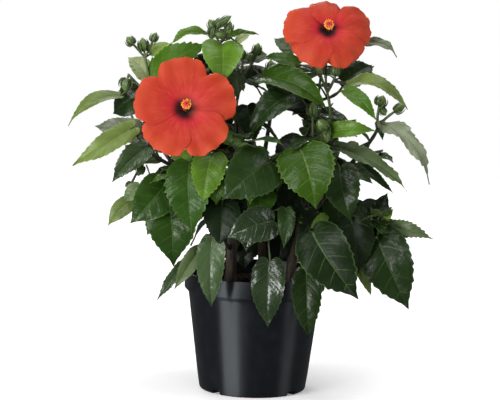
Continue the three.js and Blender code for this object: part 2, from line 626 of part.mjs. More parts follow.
function growLeaves(mass, shoot, shoots, count, rule) {
  const start = random() * 360;
  let grown = 0;
  for (let i = 0; i < count * TRIES && grown < count; i += 1) {
    const t = 0.2 + (0.8 * ((i % count) + random())) / count;
    const heading = rule.facing + (((start + i * 137.5) % 360) / 180 - 1) * rule.spread;
    const pitch = -48 + 58 * t + (random() - 0.5) * 40;
    const length = (56 + 22 * random()) * (i < count * 4 ? 1 : 0.75);
    const root = shoot[Math.floor(t * (shoot.length - 1))].clone()
      .addScaledVector(direction(heading, Math.min(pitch + 45, 60)), 10 + 14 * random());
    const leaf = { root, heading, pitch, length, width: length * (0.56 + 0.1 * random()), lean: 30,
      towards: direction(heading, 0), arch: 0.1, grown: true };
    if (hasRoom(leaf) && addLeaf(mass, leaf, shoots, [0], true)) grown += 1;
  }
}


function growMass(name, mass) {
  const front = V([0, -1, 0]);
  for (const row of mass.leaf) {
    const [x, y, z, heading, pitch, length, width, lean, arch = 0.1] = row;
    if (length < SEEDLING) continue;
    const leaf = { root: V([x, y, z]), heading, pitch, length, width, lean, arch, towards: front };
    if (!addLeaf(mass, leaf, mass.shoots, SHIFTS, true) && !addLeaf(mass, leaf, mass.shoots, SHIFTS, false)) {
      console.error(`${name}: no room for the leaf at ${x} ${y} ${z}`);
    }
  }
}

function growTwigs(mass) {
  const rule = mass.grown;
  const main = mass.shoots[0];
  for (let k = 0; k < rule.twigs; k += 1) {
    const from = main[Math.floor((0.15 + (0.7 * k) / rule.twigs) * (main.length - 1))];
    const heading = rule.facing + (((k * 137.5 + 40) % 360) / 180 - 1) * rule.spread;
    const reach = 30 + 14 * random();
    const line = smoothLine([from.clone(), from.clone().addScaledVector(direction(heading, 20), reach * 0.5),
      from.clone().addScaledVector(direction(heading, 38), reach)]);
    const twig = limb(line, 1.5, 1.0, 3);
    if (touches(limb(line, 1.5 + GAP, 1.0 + GAP, 3), mass.name)) continue;
    mass.parts.push(stand(mass.name, twig));
    mass.shoots.push(line);
    growLeaves(mass, line, [line], 4, { ...rule, facing: heading, spread: 150 });
  }
  growLeaves(mass, main, mass.shoots, rule.leaves, rule);
}

function trim(shape, node) {
  return keepClear.filter(([owner]) => owner !== node).reduce((rest, [, other]) => rest.subtract(other), shape);
}

// ---- limbs first, each trimmed clear of those before it

for (const [name, [points, rootRadius, tipRadius]] of Object.entries({ ...TRUNKS, ...BOUGHS })) {
  const isTrunk = name in TRUNKS;
  const line = smoothLine(points.map(V), 14);
  const sides = isTrunk ? 8 : 4;
  let shape = limb(line, rootRadius, tipRadius, sides, isTrunk, isTrunk ? FLARE : null);
  shape = trim(shape, name);
  keepClear.push([name, clearance(line, rootRadius * (isTrunk ? 1.05 : 1), tipRadius, sides)]);
  nodes.push({ name, kind: isTrunk ? 'trunk' : 'bough', parts: [shape] });
  stand(name, shape);
}

// ---- the stems and buds of every mass

const masses = Object.entries(MASSES).map(([name, spec], order) => {
  const mass = { name, kind: 'mass', ...spec, parts: [], order };
  mass.shoots = [spec.stem, ...spec.side].map((points) => smoothLine(points.map(V), 12));
  mass.shoots.forEach((line, k) => {
    const [root, tip] = [k ? 1.5 : 1.9, 1.1];
    const sides = k ? 3 : 4;
    mass.parts.push(stand(name, trim(limb(line, root, tip, sides), name)));
    keepClear.push([name, clearance(line, root, tip, sides)]);
  });
  for (const [x, y, z, radius, length] of spec.bud) {
    const shape = bud(V([x, y, z]), radius, length, mass.shoots);
    if (!touches(shape, name)) mass.parts.push(stand(name, shape));
  }
  return mass;
});

// ---- blooms, each stalk trimmed clear of the shoot that carries it

for (const [name, spec] of Object.entries(BLOOMS)) {
  let shape = Manifold.union(bloomSolids(spec));
  for (const other of standing) {
    if (other.box.intersectsBox(boxOf(shape))) shape = shape.subtract(grownBy(other.solid, GAP));
  }
  stand(name, shape);
  nodes.push({ name, kind: 'bloom', parts: [shape] });
}

// a solid and its copies moved a little each way, as clearance round a thin shape
function grownBy(shape, gap) {
  const moves = [[1, 0, 0], [-1, 0, 0], [0, 1, 0], [0, -1, 0], [0, 0, 1], [0, 0, -1]];
  return Manifold.union([shape, ...moves.map((m) => shape.translate(m.map((c) => c * gap * 1.2)))]);
}

// ---- leaves: those of the front by their rows, then the rest by the seeded rule

for (const mass of masses) growMass(mass.name, mass);
for (const mass of masses) growTwigs(mass);
nodes.push(...masses);

// ------------------------------------------------------------ materials and nodes

const material = (color, roughness, metalness = 0) => (
  new THREE.MeshStandardMaterial({ color, roughness, metalness }));
const MATERIAL = {
  pot: material(0x1e2021, 0.45), soil: material(0x2a1e15, 0.95),
  trunk: material(0x3a2a20, 0.85), bough: material(0x33291f, 0.8),
  mass: material(0x35602a, 0.4), bloom: material(0xd04e36, 0.6),
};

// the node's largest body alone: sealed hollows are filled and loose scraps dropped
function oneBody(shape) {
  const bodies = shape.simplify(SLIVER).decompose().filter((body) => body.volume() > 0);
  return bodies.reduce((a, b) => (a.volume() > b.volume() ? a : b));
}

function toMesh(name, kind, shape) {
  const { vertProperties, triVerts, numProp } = shape.getMesh();
  const geometry = new THREE.BufferGeometry();
  const positions = [];
  for (let i = 0; i < vertProperties.length; i += numProp) positions.push(...vertProperties.slice(i, i + 3));
  geometry.setAttribute('position', new THREE.Float32BufferAttribute(positions, 3));
  geometry.setIndex([...triVerts]);
  geometry.computeVertexNormals();
  const mesh = new THREE.Mesh(geometry, MATERIAL[kind]);
  mesh.name = name;
  return mesh;
}

const group = new THREE.Group();
group.name = 'hibiscus_in_pot';
group.add(toMesh('pot', 'pot', makePot()), toMesh('soil', 'soil', makeSoil()));
for (const node of nodes) {
  const whole = node.parts.length > 1 ? Manifold.union(node.parts) : node.parts[0];
  group.add(toMesh(node.name, node.kind, oneBody(whole)));
}

export default group;
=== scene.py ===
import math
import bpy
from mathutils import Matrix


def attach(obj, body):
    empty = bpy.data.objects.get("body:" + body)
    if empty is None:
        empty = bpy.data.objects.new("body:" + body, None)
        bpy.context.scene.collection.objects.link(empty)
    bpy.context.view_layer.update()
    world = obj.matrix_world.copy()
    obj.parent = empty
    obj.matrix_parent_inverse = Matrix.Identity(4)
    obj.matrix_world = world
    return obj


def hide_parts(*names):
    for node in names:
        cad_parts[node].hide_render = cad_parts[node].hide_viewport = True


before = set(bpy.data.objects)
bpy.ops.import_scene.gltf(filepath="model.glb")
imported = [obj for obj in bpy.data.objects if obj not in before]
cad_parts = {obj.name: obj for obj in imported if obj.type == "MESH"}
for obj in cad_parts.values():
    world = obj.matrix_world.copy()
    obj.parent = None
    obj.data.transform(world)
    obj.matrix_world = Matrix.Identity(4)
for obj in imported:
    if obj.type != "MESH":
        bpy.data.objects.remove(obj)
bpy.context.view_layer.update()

# Hibiscus shrub in bloom, growing in its round nursery pot. The sizes are in millimetres, +Z up and
# the front towards -Y, and MM brings them to metres when a mesh is made.

from types import SimpleNamespace

import bpy
from mathutils import Vector, noise
from mathutils.bvhtree import BVHTree

MM = 0.001


# ------------------------------------------------------------ studio
# A pale floor under a white studio sky. Large soft lamps stand at the front left, right and above,
# and a long lens looks slightly down from the front.

FLOOR_SIZE = 3                         # metres
LENS, SENSOR = 185.7, 36
CAMERA_AT = (-6.2, -2356, 517)
CAMERA_AIM = (-6.2, 0, 176)
CAMERA_ROLL = 1.4
LAMPS = {                              # place in metres, width, height and power
    "low_left_lamp": ((-1.52, -1.57, 0.42), 1.3, 0.8, 47),
    "high_left_lamp": ((-0.9, -1.3, 2.2), 0.9, 0.9, 22),
    "right_lamp": ((2.3, -0.65, 1.2), 1.0, 1.0, 15),
    "top_lamp": ((0.2, 0.4, 2.1), 1.3, 1.3, 20),
    "back_lamp": ((-0.7, 2.0, 1.5), 1.2, 1.0, 16),
}
LAMPS_AIM = (0, 0, 0.2)
SKY_SEEN, SKY_LIGHT, SKY_GLOSS = 1.0, 0.42, 0.10
FLOOR_GLOW = 0.15


class Value:
    """A socket that varies over a surface: sums on it add Math nodes."""

    def __init__(self, nodes, socket):
        self.nodes = nodes
        self.socket = socket

    def math(self, operation, first, second=0.0):
        return self.nodes.add("ShaderNodeMath", {"operation": operation}, {0: first, 1: second})

    def __add__(self, other):
        return self.math("ADD", self, other)

    def __sub__(self, other):
        return self.math("SUBTRACT", self, other)

    def __rsub__(self, other):
        return self.math("SUBTRACT", other, self)

    def __mul__(self, other):
        return self.math("MULTIPLY", self, other)

    __radd__ = __add__
    __rmul__ = __mul__

    def fraction(self):
        return self.math("FRACT", self)

    def size(self):
        return self.math("ABSOLUTE", self)

    def larger(self, other):
        return self.math("MAXIMUM", self, other)

    def between(self, low, high):
        """0 below low and 1 above high, turning smoothly."""
        ends = {"Value": self, "From Min": low, "From Max": high}
        return self.nodes.add("ShaderNodeMapRange", {"interpolation_type": "SMOOTHSTEP"}, ends)


class Nodes:
    """The node tree of a material or of the sky."""

    def __init__(self, tree):
        self.tree = tree
        tree.nodes.clear()

    def add(self, kind, settings=None, inputs=None, output=0):
        node = self.tree.nodes.new(kind)
        for name, value in (settings or {}).items():
            if name == "stops":
                ramp = node.color_ramp
                while len(ramp.elements) < len(value):
                    ramp.elements.new(0.5)
                for element, (position, colour) in zip(ramp.elements, value):
                    element.position = position
                    element.color = colour
            else:
                setattr(node, name, value)
        for name, value in (inputs or {}).items():
            if isinstance(value, Value):
                self.tree.links.new(value.socket, node.inputs[name])
            else:
                node.inputs[name].default_value = value
        return Value(self, node.outputs[output]) if len(node.outputs) else None

    def mix(self, share, first, second):
        return self.add("ShaderNodeMix", {"data_type": "RGBA"}, {0: share, 6: first, 7: second}, 2)

    def grain(self, where, scale, detail=2.0):
        return self.add(
            "ShaderNodeTexNoise", {}, {"Vector": where, "Scale": scale, "Detail": detail})

    def cells(self, where, scale):
        return self.add("ShaderNodeTexVoronoi", {}, {"Vector": where, "Scale": scale})


def paint(red, green, blue, bright=1.0):
    """A colour from its screen values of 0 to 255, as linear light."""
    def linear(level):
        level /= 255
        return level / 12.92 if level <= 0.04045 else ((level + 0.055) / 1.055) ** 2.4
    return tuple(min(linear(level) * bright, 1.0) for level in (red, green, blue)) + (1.0,)


class Finish(Nodes):
    """A material whose surface has a colour, a roughness and a relief."""

    def __init__(self, name):
        self.material = bpy.data.materials.new(name)
        self.material.use_nodes = True
        super().__init__(self.material.node_tree)
        self.place = self.add("ShaderNodeTexCoord", output=3)

    def surface(self, colour, roughness, relief=None, depth=0.1, **fixed):
        sockets = {"Base Color": colour, "Roughness": roughness}
        sockets.update({name.replace("_", " "): value for name, value in fixed.items()})
        if relief:
            bump = {"Height": relief, "Distance": depth * MM}
            sockets["Normal"] = self.add("ShaderNodeBump", {}, bump)
        shader = self.add("ShaderNodeBsdfPrincipled", {}, sockets)
        self.add("ShaderNodeOutputMaterial", {}, {"Surface": shader})
        return self.material


def finish_object(name, material, smooth_angle=40):
    """The object just modelled gets its name, its finish and its smooth shading."""
    piece = bpy.context.object
    piece.name = piece.data.name = name
    piece.data.materials.clear()
    piece.data.materials.append(material)
    bpy.ops.object.transform_apply(location=True, rotation=True, scale=True)
    bpy.ops.object.shade_smooth_by_angle(angle=math.radians(smooth_angle))
    bpy.ops.object.select_all(action="DESELECT")
    return piece


def towards(place, aim):
    """The turn of a lamp or camera at a place that looks at the aim."""
    return (Vector(aim) - Vector(place)).to_track_quat("-Z", "Y")


bpy.context.scene.view_settings.view_transform = "Standard"
bpy.ops.object.select_all(action="DESELECT")

sky = bpy.data.worlds.new("studio_sky")
sky.use_nodes = True
bpy.context.scene.world = sky
sky_nodes = Nodes(sky.node_tree)
seen = sky_nodes.add("ShaderNodeLightPath")
mirrored = sky_nodes.add("ShaderNodeLightPath", output=3)
strength = seen * (SKY_SEEN - SKY_LIGHT) + mirrored * (SKY_GLOSS - SKY_LIGHT) + SKY_LIGHT
glow = sky_nodes.add("ShaderNodeBackground", {}, {"Color": (1, 1, 1, 1), "Strength": strength})
sky_nodes.add("ShaderNodeOutputWorld", {}, {"Surface": glow})

for lamp_name, (lamp_place, wide, high, power) in LAMPS.items():
    turn = towards(lamp_place, LAMPS_AIM).to_euler()
    bpy.ops.object.light_add(type="AREA", location=lamp_place, rotation=turn)
    lamp = bpy.context.object
    lamp.name = lamp_name
    lamp.data.shape = "RECTANGLE"
    lamp.data.size = wide
    lamp.data.size_y = high
    lamp.data.energy = power

camera_place = Vector(CAMERA_AT) * MM
bpy.ops.object.camera_add(location=camera_place)
camera = bpy.context.object
camera.name = "camera"
camera.data.sensor_width = SENSOR
camera.data.lens = LENS
camera.rotation_euler = towards(camera_place, Vector(CAMERA_AIM) * MM).to_euler()
camera.rotation_euler.rotate_axis("Z", math.radians(CAMERA_ROLL))
bpy.context.scene.camera = camera

bpy.ops.object.select_all(action="DESELECT")
bpy.ops.mesh.primitive_plane_add(size=FLOOR_SIZE, location=(0, 0, 0))
bpy.ops.object.mode_set(mode="EDIT")
bpy.ops.mesh.subdivide(number_cuts=3)
bpy.ops.object.mode_set(mode="OBJECT")
paper = Finish("studio_floor")
paper_tone = paper.mix(paper.grain(paper.place, 1.5), paint(246, 246, 246), paint(250, 250, 250))
floor = finish_object("floor", paper.surface(
    paper_tone, 0.9, Emission_Color=(1, 1, 1, 1), Emission_Strength=FLOOR_GLOW))
floor.visible_glossy = False


# ------------------------------------------------------------ pot
# A nursery pot of black polypropylene, moulded in one piece: a thin tapering wall, a proud rim band
# over a chamfer, and a flat underside with four drainage channels and drain holes.

POT_HEIGHT, POT_RIM, POT_BAND, POT_CHAMFER = 110, 65, 15.5, 3.6
POT_WALL_TOP, POT_BASE, POT_FOOT, POT_WALL, POT_FLOOR = 61.2, 49.5, 2.5, 1.6, 7
BAND_EDGE, LIP_OUTSIDE, LIP_INSIDE = 0.9, 0.6, 0.5       # how far these edges are rounded
POT_SIDES, WALL_STEPS, DRAIN_SIDES = 144, 6, 32
CHANNELS, CHANNEL_AT, CHANNEL_WIDTH, CHANNEL_DEPTH, PAD_RADIUS = 4, 47, 10, 4, 20
DRAIN_AT, DRAIN_RADIUS = 34, 3.6


def drawn_out(finish, where, scale):
    """A place with its own scale on each axis, for grain that runs one way."""
    return finish.add("ShaderNodeMapping", {}, {"Vector": where, "Scale": scale})


def wall_radius(height):
    """The outside of the pot's tapering wall."""
    return POT_BASE + (POT_WALL_TOP - POT_BASE) * height / (POT_HEIGHT - POT_BAND - POT_CHAMFER)


def rounded(radius, height, size, first, last, steps=5):
    """A rounded edge of the profile: its points on an arc from one angle to another."""
    angles = [math.radians(first + (last - first) * k / steps) for k in range(steps + 1)]
    return [(radius + size * math.cos(a), height + size * math.sin(a)) for a in angles]


def raise_profile(profile, sides):
    """A round shell is drawn up from its base through the radius and height of each ring."""
    bpy.ops.object.select_all(action="DESELECT")
    start_radius, start_height = profile[0]
    bpy.ops.mesh.primitive_circle_add(
        vertices=sides, radius=start_radius * MM, fill_type="NGON",
        location=(0, 0, start_height * MM))
    bpy.ops.object.transform_apply(location=True, rotation=True, scale=True)
    bpy.ops.object.mode_set(mode="EDIT")
    bpy.ops.mesh.select_all(action="SELECT")
    for (radius, height), (next_radius, next_height) in zip(profile, profile[1:]):
        rise = (0, 0, (next_height - height) * MM)
        share = next_radius / radius
        bpy.ops.mesh.extrude_region_move(TRANSFORM_OT_translate={"value": rise})
        bpy.ops.transform.resize(value=(share, share, 1), center_override=(0, 0, next_height * MM))
    bpy.ops.mesh.select_all(action="SELECT")
    bpy.ops.mesh.normals_make_consistent(inside=False)
    bpy.ops.object.mode_set(mode="OBJECT")
    return bpy.context.object


def cut_away(piece, cutter):
    """The cutter's shape is taken out of the piece."""
    bpy.ops.object.select_all(action="DESELECT")
    bpy.context.view_layer.objects.active = piece
    piece.select_set(True)
    bpy.ops.object.modifier_add(type="BOOLEAN")
    piece.modifiers[-1].object = cutter
    bpy.ops.object.modifier_apply(modifier=piece.modifiers[-1].name)
    bpy.data.objects.remove(cutter)


band_foot = POT_HEIGHT - POT_BAND
chamfer_foot = band_foot - POT_CHAMFER
pot_profile = (
    rounded(POT_BASE - POT_FOOT, POT_FOOT, POT_FOOT, -90, -8)
    + [(wall_radius(chamfer_foot * k / WALL_STEPS), chamfer_foot * k / WALL_STEPS)
       for k in range(1, WALL_STEPS + 1)]
    + [(POT_WALL_TOP + 0.35, chamfer_foot + 0.2)]
    + rounded(POT_RIM - BAND_EDGE, band_foot + 0.5, BAND_EDGE, -45, 0, 3)
    + rounded(POT_RIM - LIP_OUTSIDE, POT_HEIGHT - LIP_OUTSIDE, LIP_OUTSIDE, 0, 90, 4)
    + rounded(POT_RIM - POT_WALL + LIP_INSIDE, POT_HEIGHT - LIP_INSIDE, LIP_INSIDE, 90, 180, 4)
    + [(POT_RIM - POT_WALL - 0.4, band_foot + 1)]
    + [(wall_radius(band_foot) - POT_WALL, band_foot - 2)]
    + [(POT_BASE - POT_WALL + 0.6, POT_FLOOR + 2), (POT_BASE - POT_WALL - 1.4, POT_FLOOR)])
pot = raise_profile(pot_profile, POT_SIDES)
for k in range(CHANNELS):
    turn = math.radians(CHANNEL_AT + k * 360 / CHANNELS)
    reach = POT_RIM - PAD_RADIUS
    middle = (PAD_RADIUS + reach / 2) * MM
    bpy.ops.object.select_all(action="DESELECT")
    bpy.ops.mesh.primitive_cube_add(
        size=MM, location=(math.sin(turn) * middle, -math.cos(turn) * middle, 0),
        rotation=(0, 0, turn), scale=(CHANNEL_WIDTH, reach, CHANNEL_DEPTH * 2))
    cut_away(pot, bpy.context.object)
    hole = (math.sin(turn) * DRAIN_AT * MM, -math.cos(turn) * DRAIN_AT * MM, 0)
    bpy.ops.object.select_all(action="DESELECT")
    bpy.ops.mesh.primitive_cylinder_add(
        vertices=DRAIN_SIDES, radius=DRAIN_RADIUS * MM, depth=POT_FLOOR * 3 * MM, location=hole)
    cut_away(pot, bpy.context.object)

plastic = Finish("pot_plastic")
scuff = plastic.grain(plastic.place, 90, 5.0)
flow = plastic.grain(drawn_out(plastic, plastic.place, (60, 60, 6)), 9, 3.0)
plastic_tone = plastic.mix(scuff.between(0.45, 0.8), paint(12, 14, 17), paint(20, 23, 27))
bpy.context.view_layer.objects.active = pot
pot.select_set(True)
pot = finish_object(
    "nursery_pot",
    plastic.surface(plastic_tone, scuff * 0.08 + 0.38, flow * 0.6 + scuff * 0.4, 0.06,
                    Specular_IOR_Level=0.64, Specular_Tint=(0.86, 0.94, 1.0, 1.0),
                    Anisotropic=1.0, Anisotropic_Rotation=0.25), 32)
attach(pot, "root")
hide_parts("pot")


# ------------------------------------------------------------ peat
# The root ball is fibrous peat that fills the pot to 12 mm under its rim. Its top is uneven, with
# loose crumbs lying on it, some of them drawn out long.

SOIL_TOP, SOIL_GAP = 98, 0.3
SOIL_RINGS, SOIL_SIDES = 16, 96
LUMP_SCALE, LUMP_HEIGHT = 90, 1.6
CRUMBS, CRUMB_SIZE = 620, (0.9, 2.6)
SEED = 20931
seed = SEED


def random():
    """The next seeded number from 0 to 1."""
    global seed
    seed = (seed * 16807) % 2147483647
    return seed / 2147483647


def dealt_shade(finish):
    """The shade from 0 to 1 that each small shape of a mesh was given."""
    return finish.add("ShaderNodeAttribute", {"attribute_name": "shade"}, {}, 2)


class Joined:
    """Many small shapes gathered into one mesh, with a UV map and a shade of its own for each."""

    def __init__(self):
        self.points, self.faces, self.slots, self.marks, self.shades = [], [], [], [], []

    def add(self, points, faces, slot=0, marks=None, shade=0.5):
        first = len(self.points)
        self.points += points
        self.faces += [[first + corner for corner in face] for face in faces]
        self.slots += slot if isinstance(slot, list) else [slot] * len(faces)
        self.marks += marks or [(0.0, 0.0)] * len(points)
        self.shades += shade if isinstance(shade, list) else [shade] * len(points)

    def make(self, name, materials, smooth_angle=50):
        mesh = bpy.data.meshes.new(name)
        mesh.from_pydata([tuple(p * MM) for p in self.points], [], self.faces)
        for material in materials:
            mesh.materials.append(material)
        mesh.polygons.foreach_set("material_index", self.slots)
        layout = mesh.uv_layers.new(name="Grown")
        flat = [part for loop in mesh.loops for part in self.marks[loop.vertex_index]]
        layout.data.foreach_set("uv", flat)
        shade = mesh.attributes.new("shade", "FLOAT", "POINT")
        shade.data.foreach_set("value", self.shades)
        mesh.update()
        piece = bpy.data.objects.new(name, mesh)
        bpy.context.scene.collection.objects.link(piece)
        bpy.context.view_layer.objects.active = piece
        piece.select_set(True)
        bpy.ops.object.shade_smooth_by_angle(angle=math.radians(smooth_angle))
        bpy.ops.object.select_all(action="DESELECT")
        return piece


soil_slope = (POT_RIM - wall_radius(band_foot)) / (POT_BAND + 2)
soil_edge = wall_radius(band_foot) - POT_WALL - SOIL_GAP + soil_slope * (SOIL_TOP - band_foot + 2)
soil_profile = [
    (POT_BASE - POT_WALL - 1.8, POT_FLOOR + SOIL_GAP), (POT_BASE - POT_WALL, POT_FLOOR + 3),
    (wall_radius(band_foot) - POT_WALL - SOIL_GAP, band_foot - 2),
    (soil_edge - 0.4, SOIL_TOP - 0.5)]
soil = raise_profile(soil_profile, SOIL_SIDES)
bpy.ops.object.mode_set(mode="EDIT")
bpy.ops.mesh.select_all(action="DESELECT")
bpy.ops.object.mode_set(mode="OBJECT")
top_face = max(soil.data.polygons, key=lambda face: face.center.z)
top_face.select = True
bpy.ops.object.mode_set(mode="EDIT")
bpy.ops.mesh.select_mode(type="FACE")
for _ in range(SOIL_RINGS):
    bpy.ops.mesh.inset(thickness=(soil_edge - 3) / SOIL_RINGS * MM)
bpy.ops.mesh.select_mode(type="VERT")
bpy.ops.object.mode_set(mode="OBJECT")
for vertex in soil.data.vertices:
    if vertex.co.z > (SOIL_TOP - 1) * MM:
        lump = noise.fractal(vertex.co * LUMP_SCALE, 0.8, 2.0, 4)
        rise = min(lump * LUMP_HEIGHT, LUMP_HEIGHT)
        inward = 1 - vertex.co.xy.length / (soil_edge * MM)
        vertex.co.z = (SOIL_TOP - 0.8 + rise * min(inward * 8, 1)) * MM

crumbs = Joined()
bpy.ops.object.select_all(action="DESELECT")
bpy.ops.mesh.primitive_ico_sphere_add(subdivisions=1, radius=1)
crumb = bpy.context.object
crumb_points = [vertex.co.copy() for vertex in crumb.data.vertices]
crumb_faces = [list(face.vertices) for face in crumb.data.polygons]
bpy.data.objects.remove(crumb)
for k in range(CRUMBS):
    far = (soil_edge - 4) * math.sqrt(random())
    around = 2 * math.pi * random()
    at = Vector((far * math.cos(around), far * math.sin(around), SOIL_TOP - 0.2))
    size = CRUMB_SIZE[0] + (CRUMB_SIZE[1] - CRUMB_SIZE[0]) * random() ** 2
    long = 1 + 1.6 * random() ** 3
    turned = 2 * math.pi * random()
    lie = Vector((math.cos(turned), math.sin(turned), 0.2))
    points = []
    for p in crumb_points:
        lumpy = p * (0.75 + 0.5 * noise.noise(p * 2 + at))
        stretched = lumpy + lie * lumpy.dot(lie) * (long - 1)
        points.append(at + Vector((stretched.x, stretched.y, stretched.z * 0.6)) * size)
    crumbs.add(points, crumb_faces, shade=random())

peat = Finish("peat")
clods = peat.grain(peat.place, 260, 6.0)
peat_light = clods * 0.7 + dealt_shade(peat) * 0.3
peat_tone = peat.mix(peat_light.between(0.3, 0.75), paint(24, 17, 12), paint(62, 45, 32))
peat_finish = peat.surface(peat_tone, clods * 0.1 + 0.85, clods, 1.0, Specular_IOR_Level=0.2)
bpy.context.view_layer.objects.active = soil
soil.select_set(True)
soil = finish_object("peat", peat_finish, 60)
crumb_piece = crumbs.make("peat_crumbs", [peat_finish], 80)
for piece in (soil, crumb_piece):
    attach(piece, "root")
    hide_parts("soil")


# ------------------------------------------------------------ trunks and boughs
# Three woody stems rise from the peat with a root flare, lean a little and fork into seventeen
# tapering boughs. Their bark is thin and brown, ridged lengthwise, with scars where leaves fell.

TRUNKS = {                             # points, radius at the foot, radius at the tip
    "trunk_left": ([(-22, -5, 98.3), (-22, -6, 122), (-21, -7, 143), (-22, -8, 162)], 5.4, 4.3),
    "trunk_middle": ([(7, 16, 98.3), (6, 15, 125), (4, 10, 154), (2, 6, 180)], 4.0, 3.0),
    "trunk_right": ([(32, 9, 98.3), (35, 7, 120), (39, 4, 137), (42, 0, 154)], 4.9, 4.0),
}
FLARE_HEIGHT, FLARE_SPREAD = 12, 1.35
BOUGHS = {
    "bough_left_low": (
        [(-22, -8, 160), (-37, -14, 169), (-54, -24, 175), (-66, -32, 183)], 2.4, 1.9),
    "bough_left_up": ([(-22, -8, 160), (-41, 2, 178), (-59, 2, 191), (-74, -4, 204)], 2.7, 2.1),
    "bough_left_top": ([(-22, -8, 160), (-18, 4, 187), (-18, 8, 210), (-20, 5, 231)], 3.0, 2.2),
    "bough_left_back": ([(-22, -8, 152), (-46, 16, 170), (-68, 34, 190), (-84, 44, 208)], 2.3, 1.8),
    "bough_front_left": ([(-22, -6, 130), (-30, -26, 141), (-36, -48, 152)], 2.0, 1.6),
    "bough_middle_front": ([(4, 10, 154), (6, -10, 158), (8, -30, 162)], 2.2, 1.8),
    "bough_middle_up": ([(2, 6, 178), (1, -6, 187), (0, -18, 197)], 2.4, 2.0),
    "bough_back_left": ([(2, 6, 178), (-16, 32, 198), (-32, 56, 220)], 2.4, 1.9),
    "bough_back_right": ([(2, 6, 178), (24, 34, 200), (44, 58, 224)], 2.4, 1.9),
    "bough_back_low": ([(6, 15, 128), (4, 44, 140), (2, 70, 156)], 2.2, 1.8),
    "bough_back_top": ([(2, 6, 178), (6, 20, 214), (10, 30, 244)], 2.3, 1.8),
    "bough_right_main": ([(42, 0, 152), (53, -2, 178), (61, -4, 197), (66, -6, 211)], 3.0, 2.3),
    "bough_right_inner": ([(42, 0, 152), (46, -6, 172), (50, -10, 192), (50, -13, 208)], 2.2, 1.8),
    "bough_right_outer": ([(42, 0, 152), (62, 8, 178), (80, 11, 202), (96, 8, 223)], 2.6, 2.0),
    "bough_right_back": ([(42, 0, 150), (60, 26, 168), (78, 46, 184)], 2.3, 1.8),
    "bough_right_low": ([(39, 4, 138), (57, -12, 148), (72, -24, 153), (86, -30, 154)], 2.3, 1.9),
    "bough_front_right": ([(36, 6, 124), (40, -18, 130), (43, -42, 134)], 1.9, 1.5),
}
BARK_STEP, BARK_SIDES = 1.8, 22
RIDGE, CRACK, SCAR, ROOT_RIB = 0.09, 0.06, 0.10, 0.22    # relief as shares of the limb's radius
SCAR_PITCH, SCAR_TURN = 11, 2.4


def direction(heading, pitch):
    """A unit vector: heading 0 is to the front and 90 to the right, pitch is above the level."""
    turn, rise = math.radians(heading), math.radians(pitch)
    level = math.cos(rise)
    return Vector((math.sin(turn) * level, -math.cos(turn) * level, math.sin(rise)))


def smooth_line(points, step=9.0):
    """A smooth line through the points, with a step for every few millimetres."""
    points = [Vector(p) for p in points]
    ends = [points[0] * 2 - points[1]] + points + [points[-1] * 2 - points[-2]]
    line = []
    for a, b, c, d in zip(ends, ends[1:], ends[2:], ends[3:]):
        steps = max(1, round((c - b).length / step))
        for k in range(steps):
            t = k / steps
            weights = (
                -t + 2 * t * t - t ** 3, 2 - 5 * t * t + 3 * t ** 3,
                t + 4 * t * t - 3 * t ** 3, -t * t + t ** 3)
            line.append(sum((q * (w / 2) for q, w in zip((a, b, c, d), weights)), Vector()))
    return line + [points[-1]]


def tube(line, radii, sides, relief=None):
    """A closed limb along a line with a radius at each point, and its relief by place and angle."""
    points, faces, across = [], [], None
    for i, p in enumerate(line):
        ahead = (line[min(i + 1, len(line) - 1)] - line[max(i - 1, 0)]).normalized()
        if across is None:
            across = Vector((1, 0, 0)) if abs(ahead.x) < 0.9 else Vector((0, 1, 0))
        across = (across - ahead * across.dot(ahead)).normalized()
        third = ahead.cross(across)
        for k in range(sides):
            turn = 2 * math.pi * k / sides
            radius = radii[i] * (relief(i, turn) if relief else 1)
            points.append(p + across * math.cos(turn) * radius + third * math.sin(turn) * radius)
    last = (len(line) - 1) * sides
    for first in range(0, last, sides):
        for k in range(sides):
            n = (k + 1) % sides
            faces.append([first + k, first + n, first + sides + n, first + sides + k])
    faces.append(list(range(sides - 1, -1, -1)))
    faces.append([last + k for k in range(sides)])
    return points, faces


def taper(line, root, tip):
    """A radius for each point of a line, even from root to tip."""
    return [root + (tip - root) * i / (len(line) - 1) for i in range(len(line))]


standing = []                          # coarse shapes of all that has grown: node, tree and box


def box_of(points):
    """The lowest and highest corner of a box round the points."""
    low = [min(p[k] for p in points) for k in range(3)]
    return low, [max(p[k] for p in points) for k in range(3)]


def stand(node, shape, leaf=None):
    """A coarse shape takes its place in the plant; a leaf's is also kept without its foot."""
    low, high = box_of(shape[0])
    standing.append(SimpleNamespace(
        node=node, tree=BVHTree.FromPolygons(*shape), low=low, high=high,
        leaf=BVHTree.FromPolygons(*leaf) if leaf else None))


def meets(shape, others, own=False):
    """Whether a coarse shape crosses any of the others."""
    low, high = box_of(shape[0])
    tree = None
    for other in others:
        if all(low[k] <= other.high[k] and high[k] >= other.low[k] for k in range(3)):
            tree = tree or BVHTree.FromPolygons(*shape)
            if tree.overlap(other.leaf if own and other.leaf else other.tree):
                return True
    return False


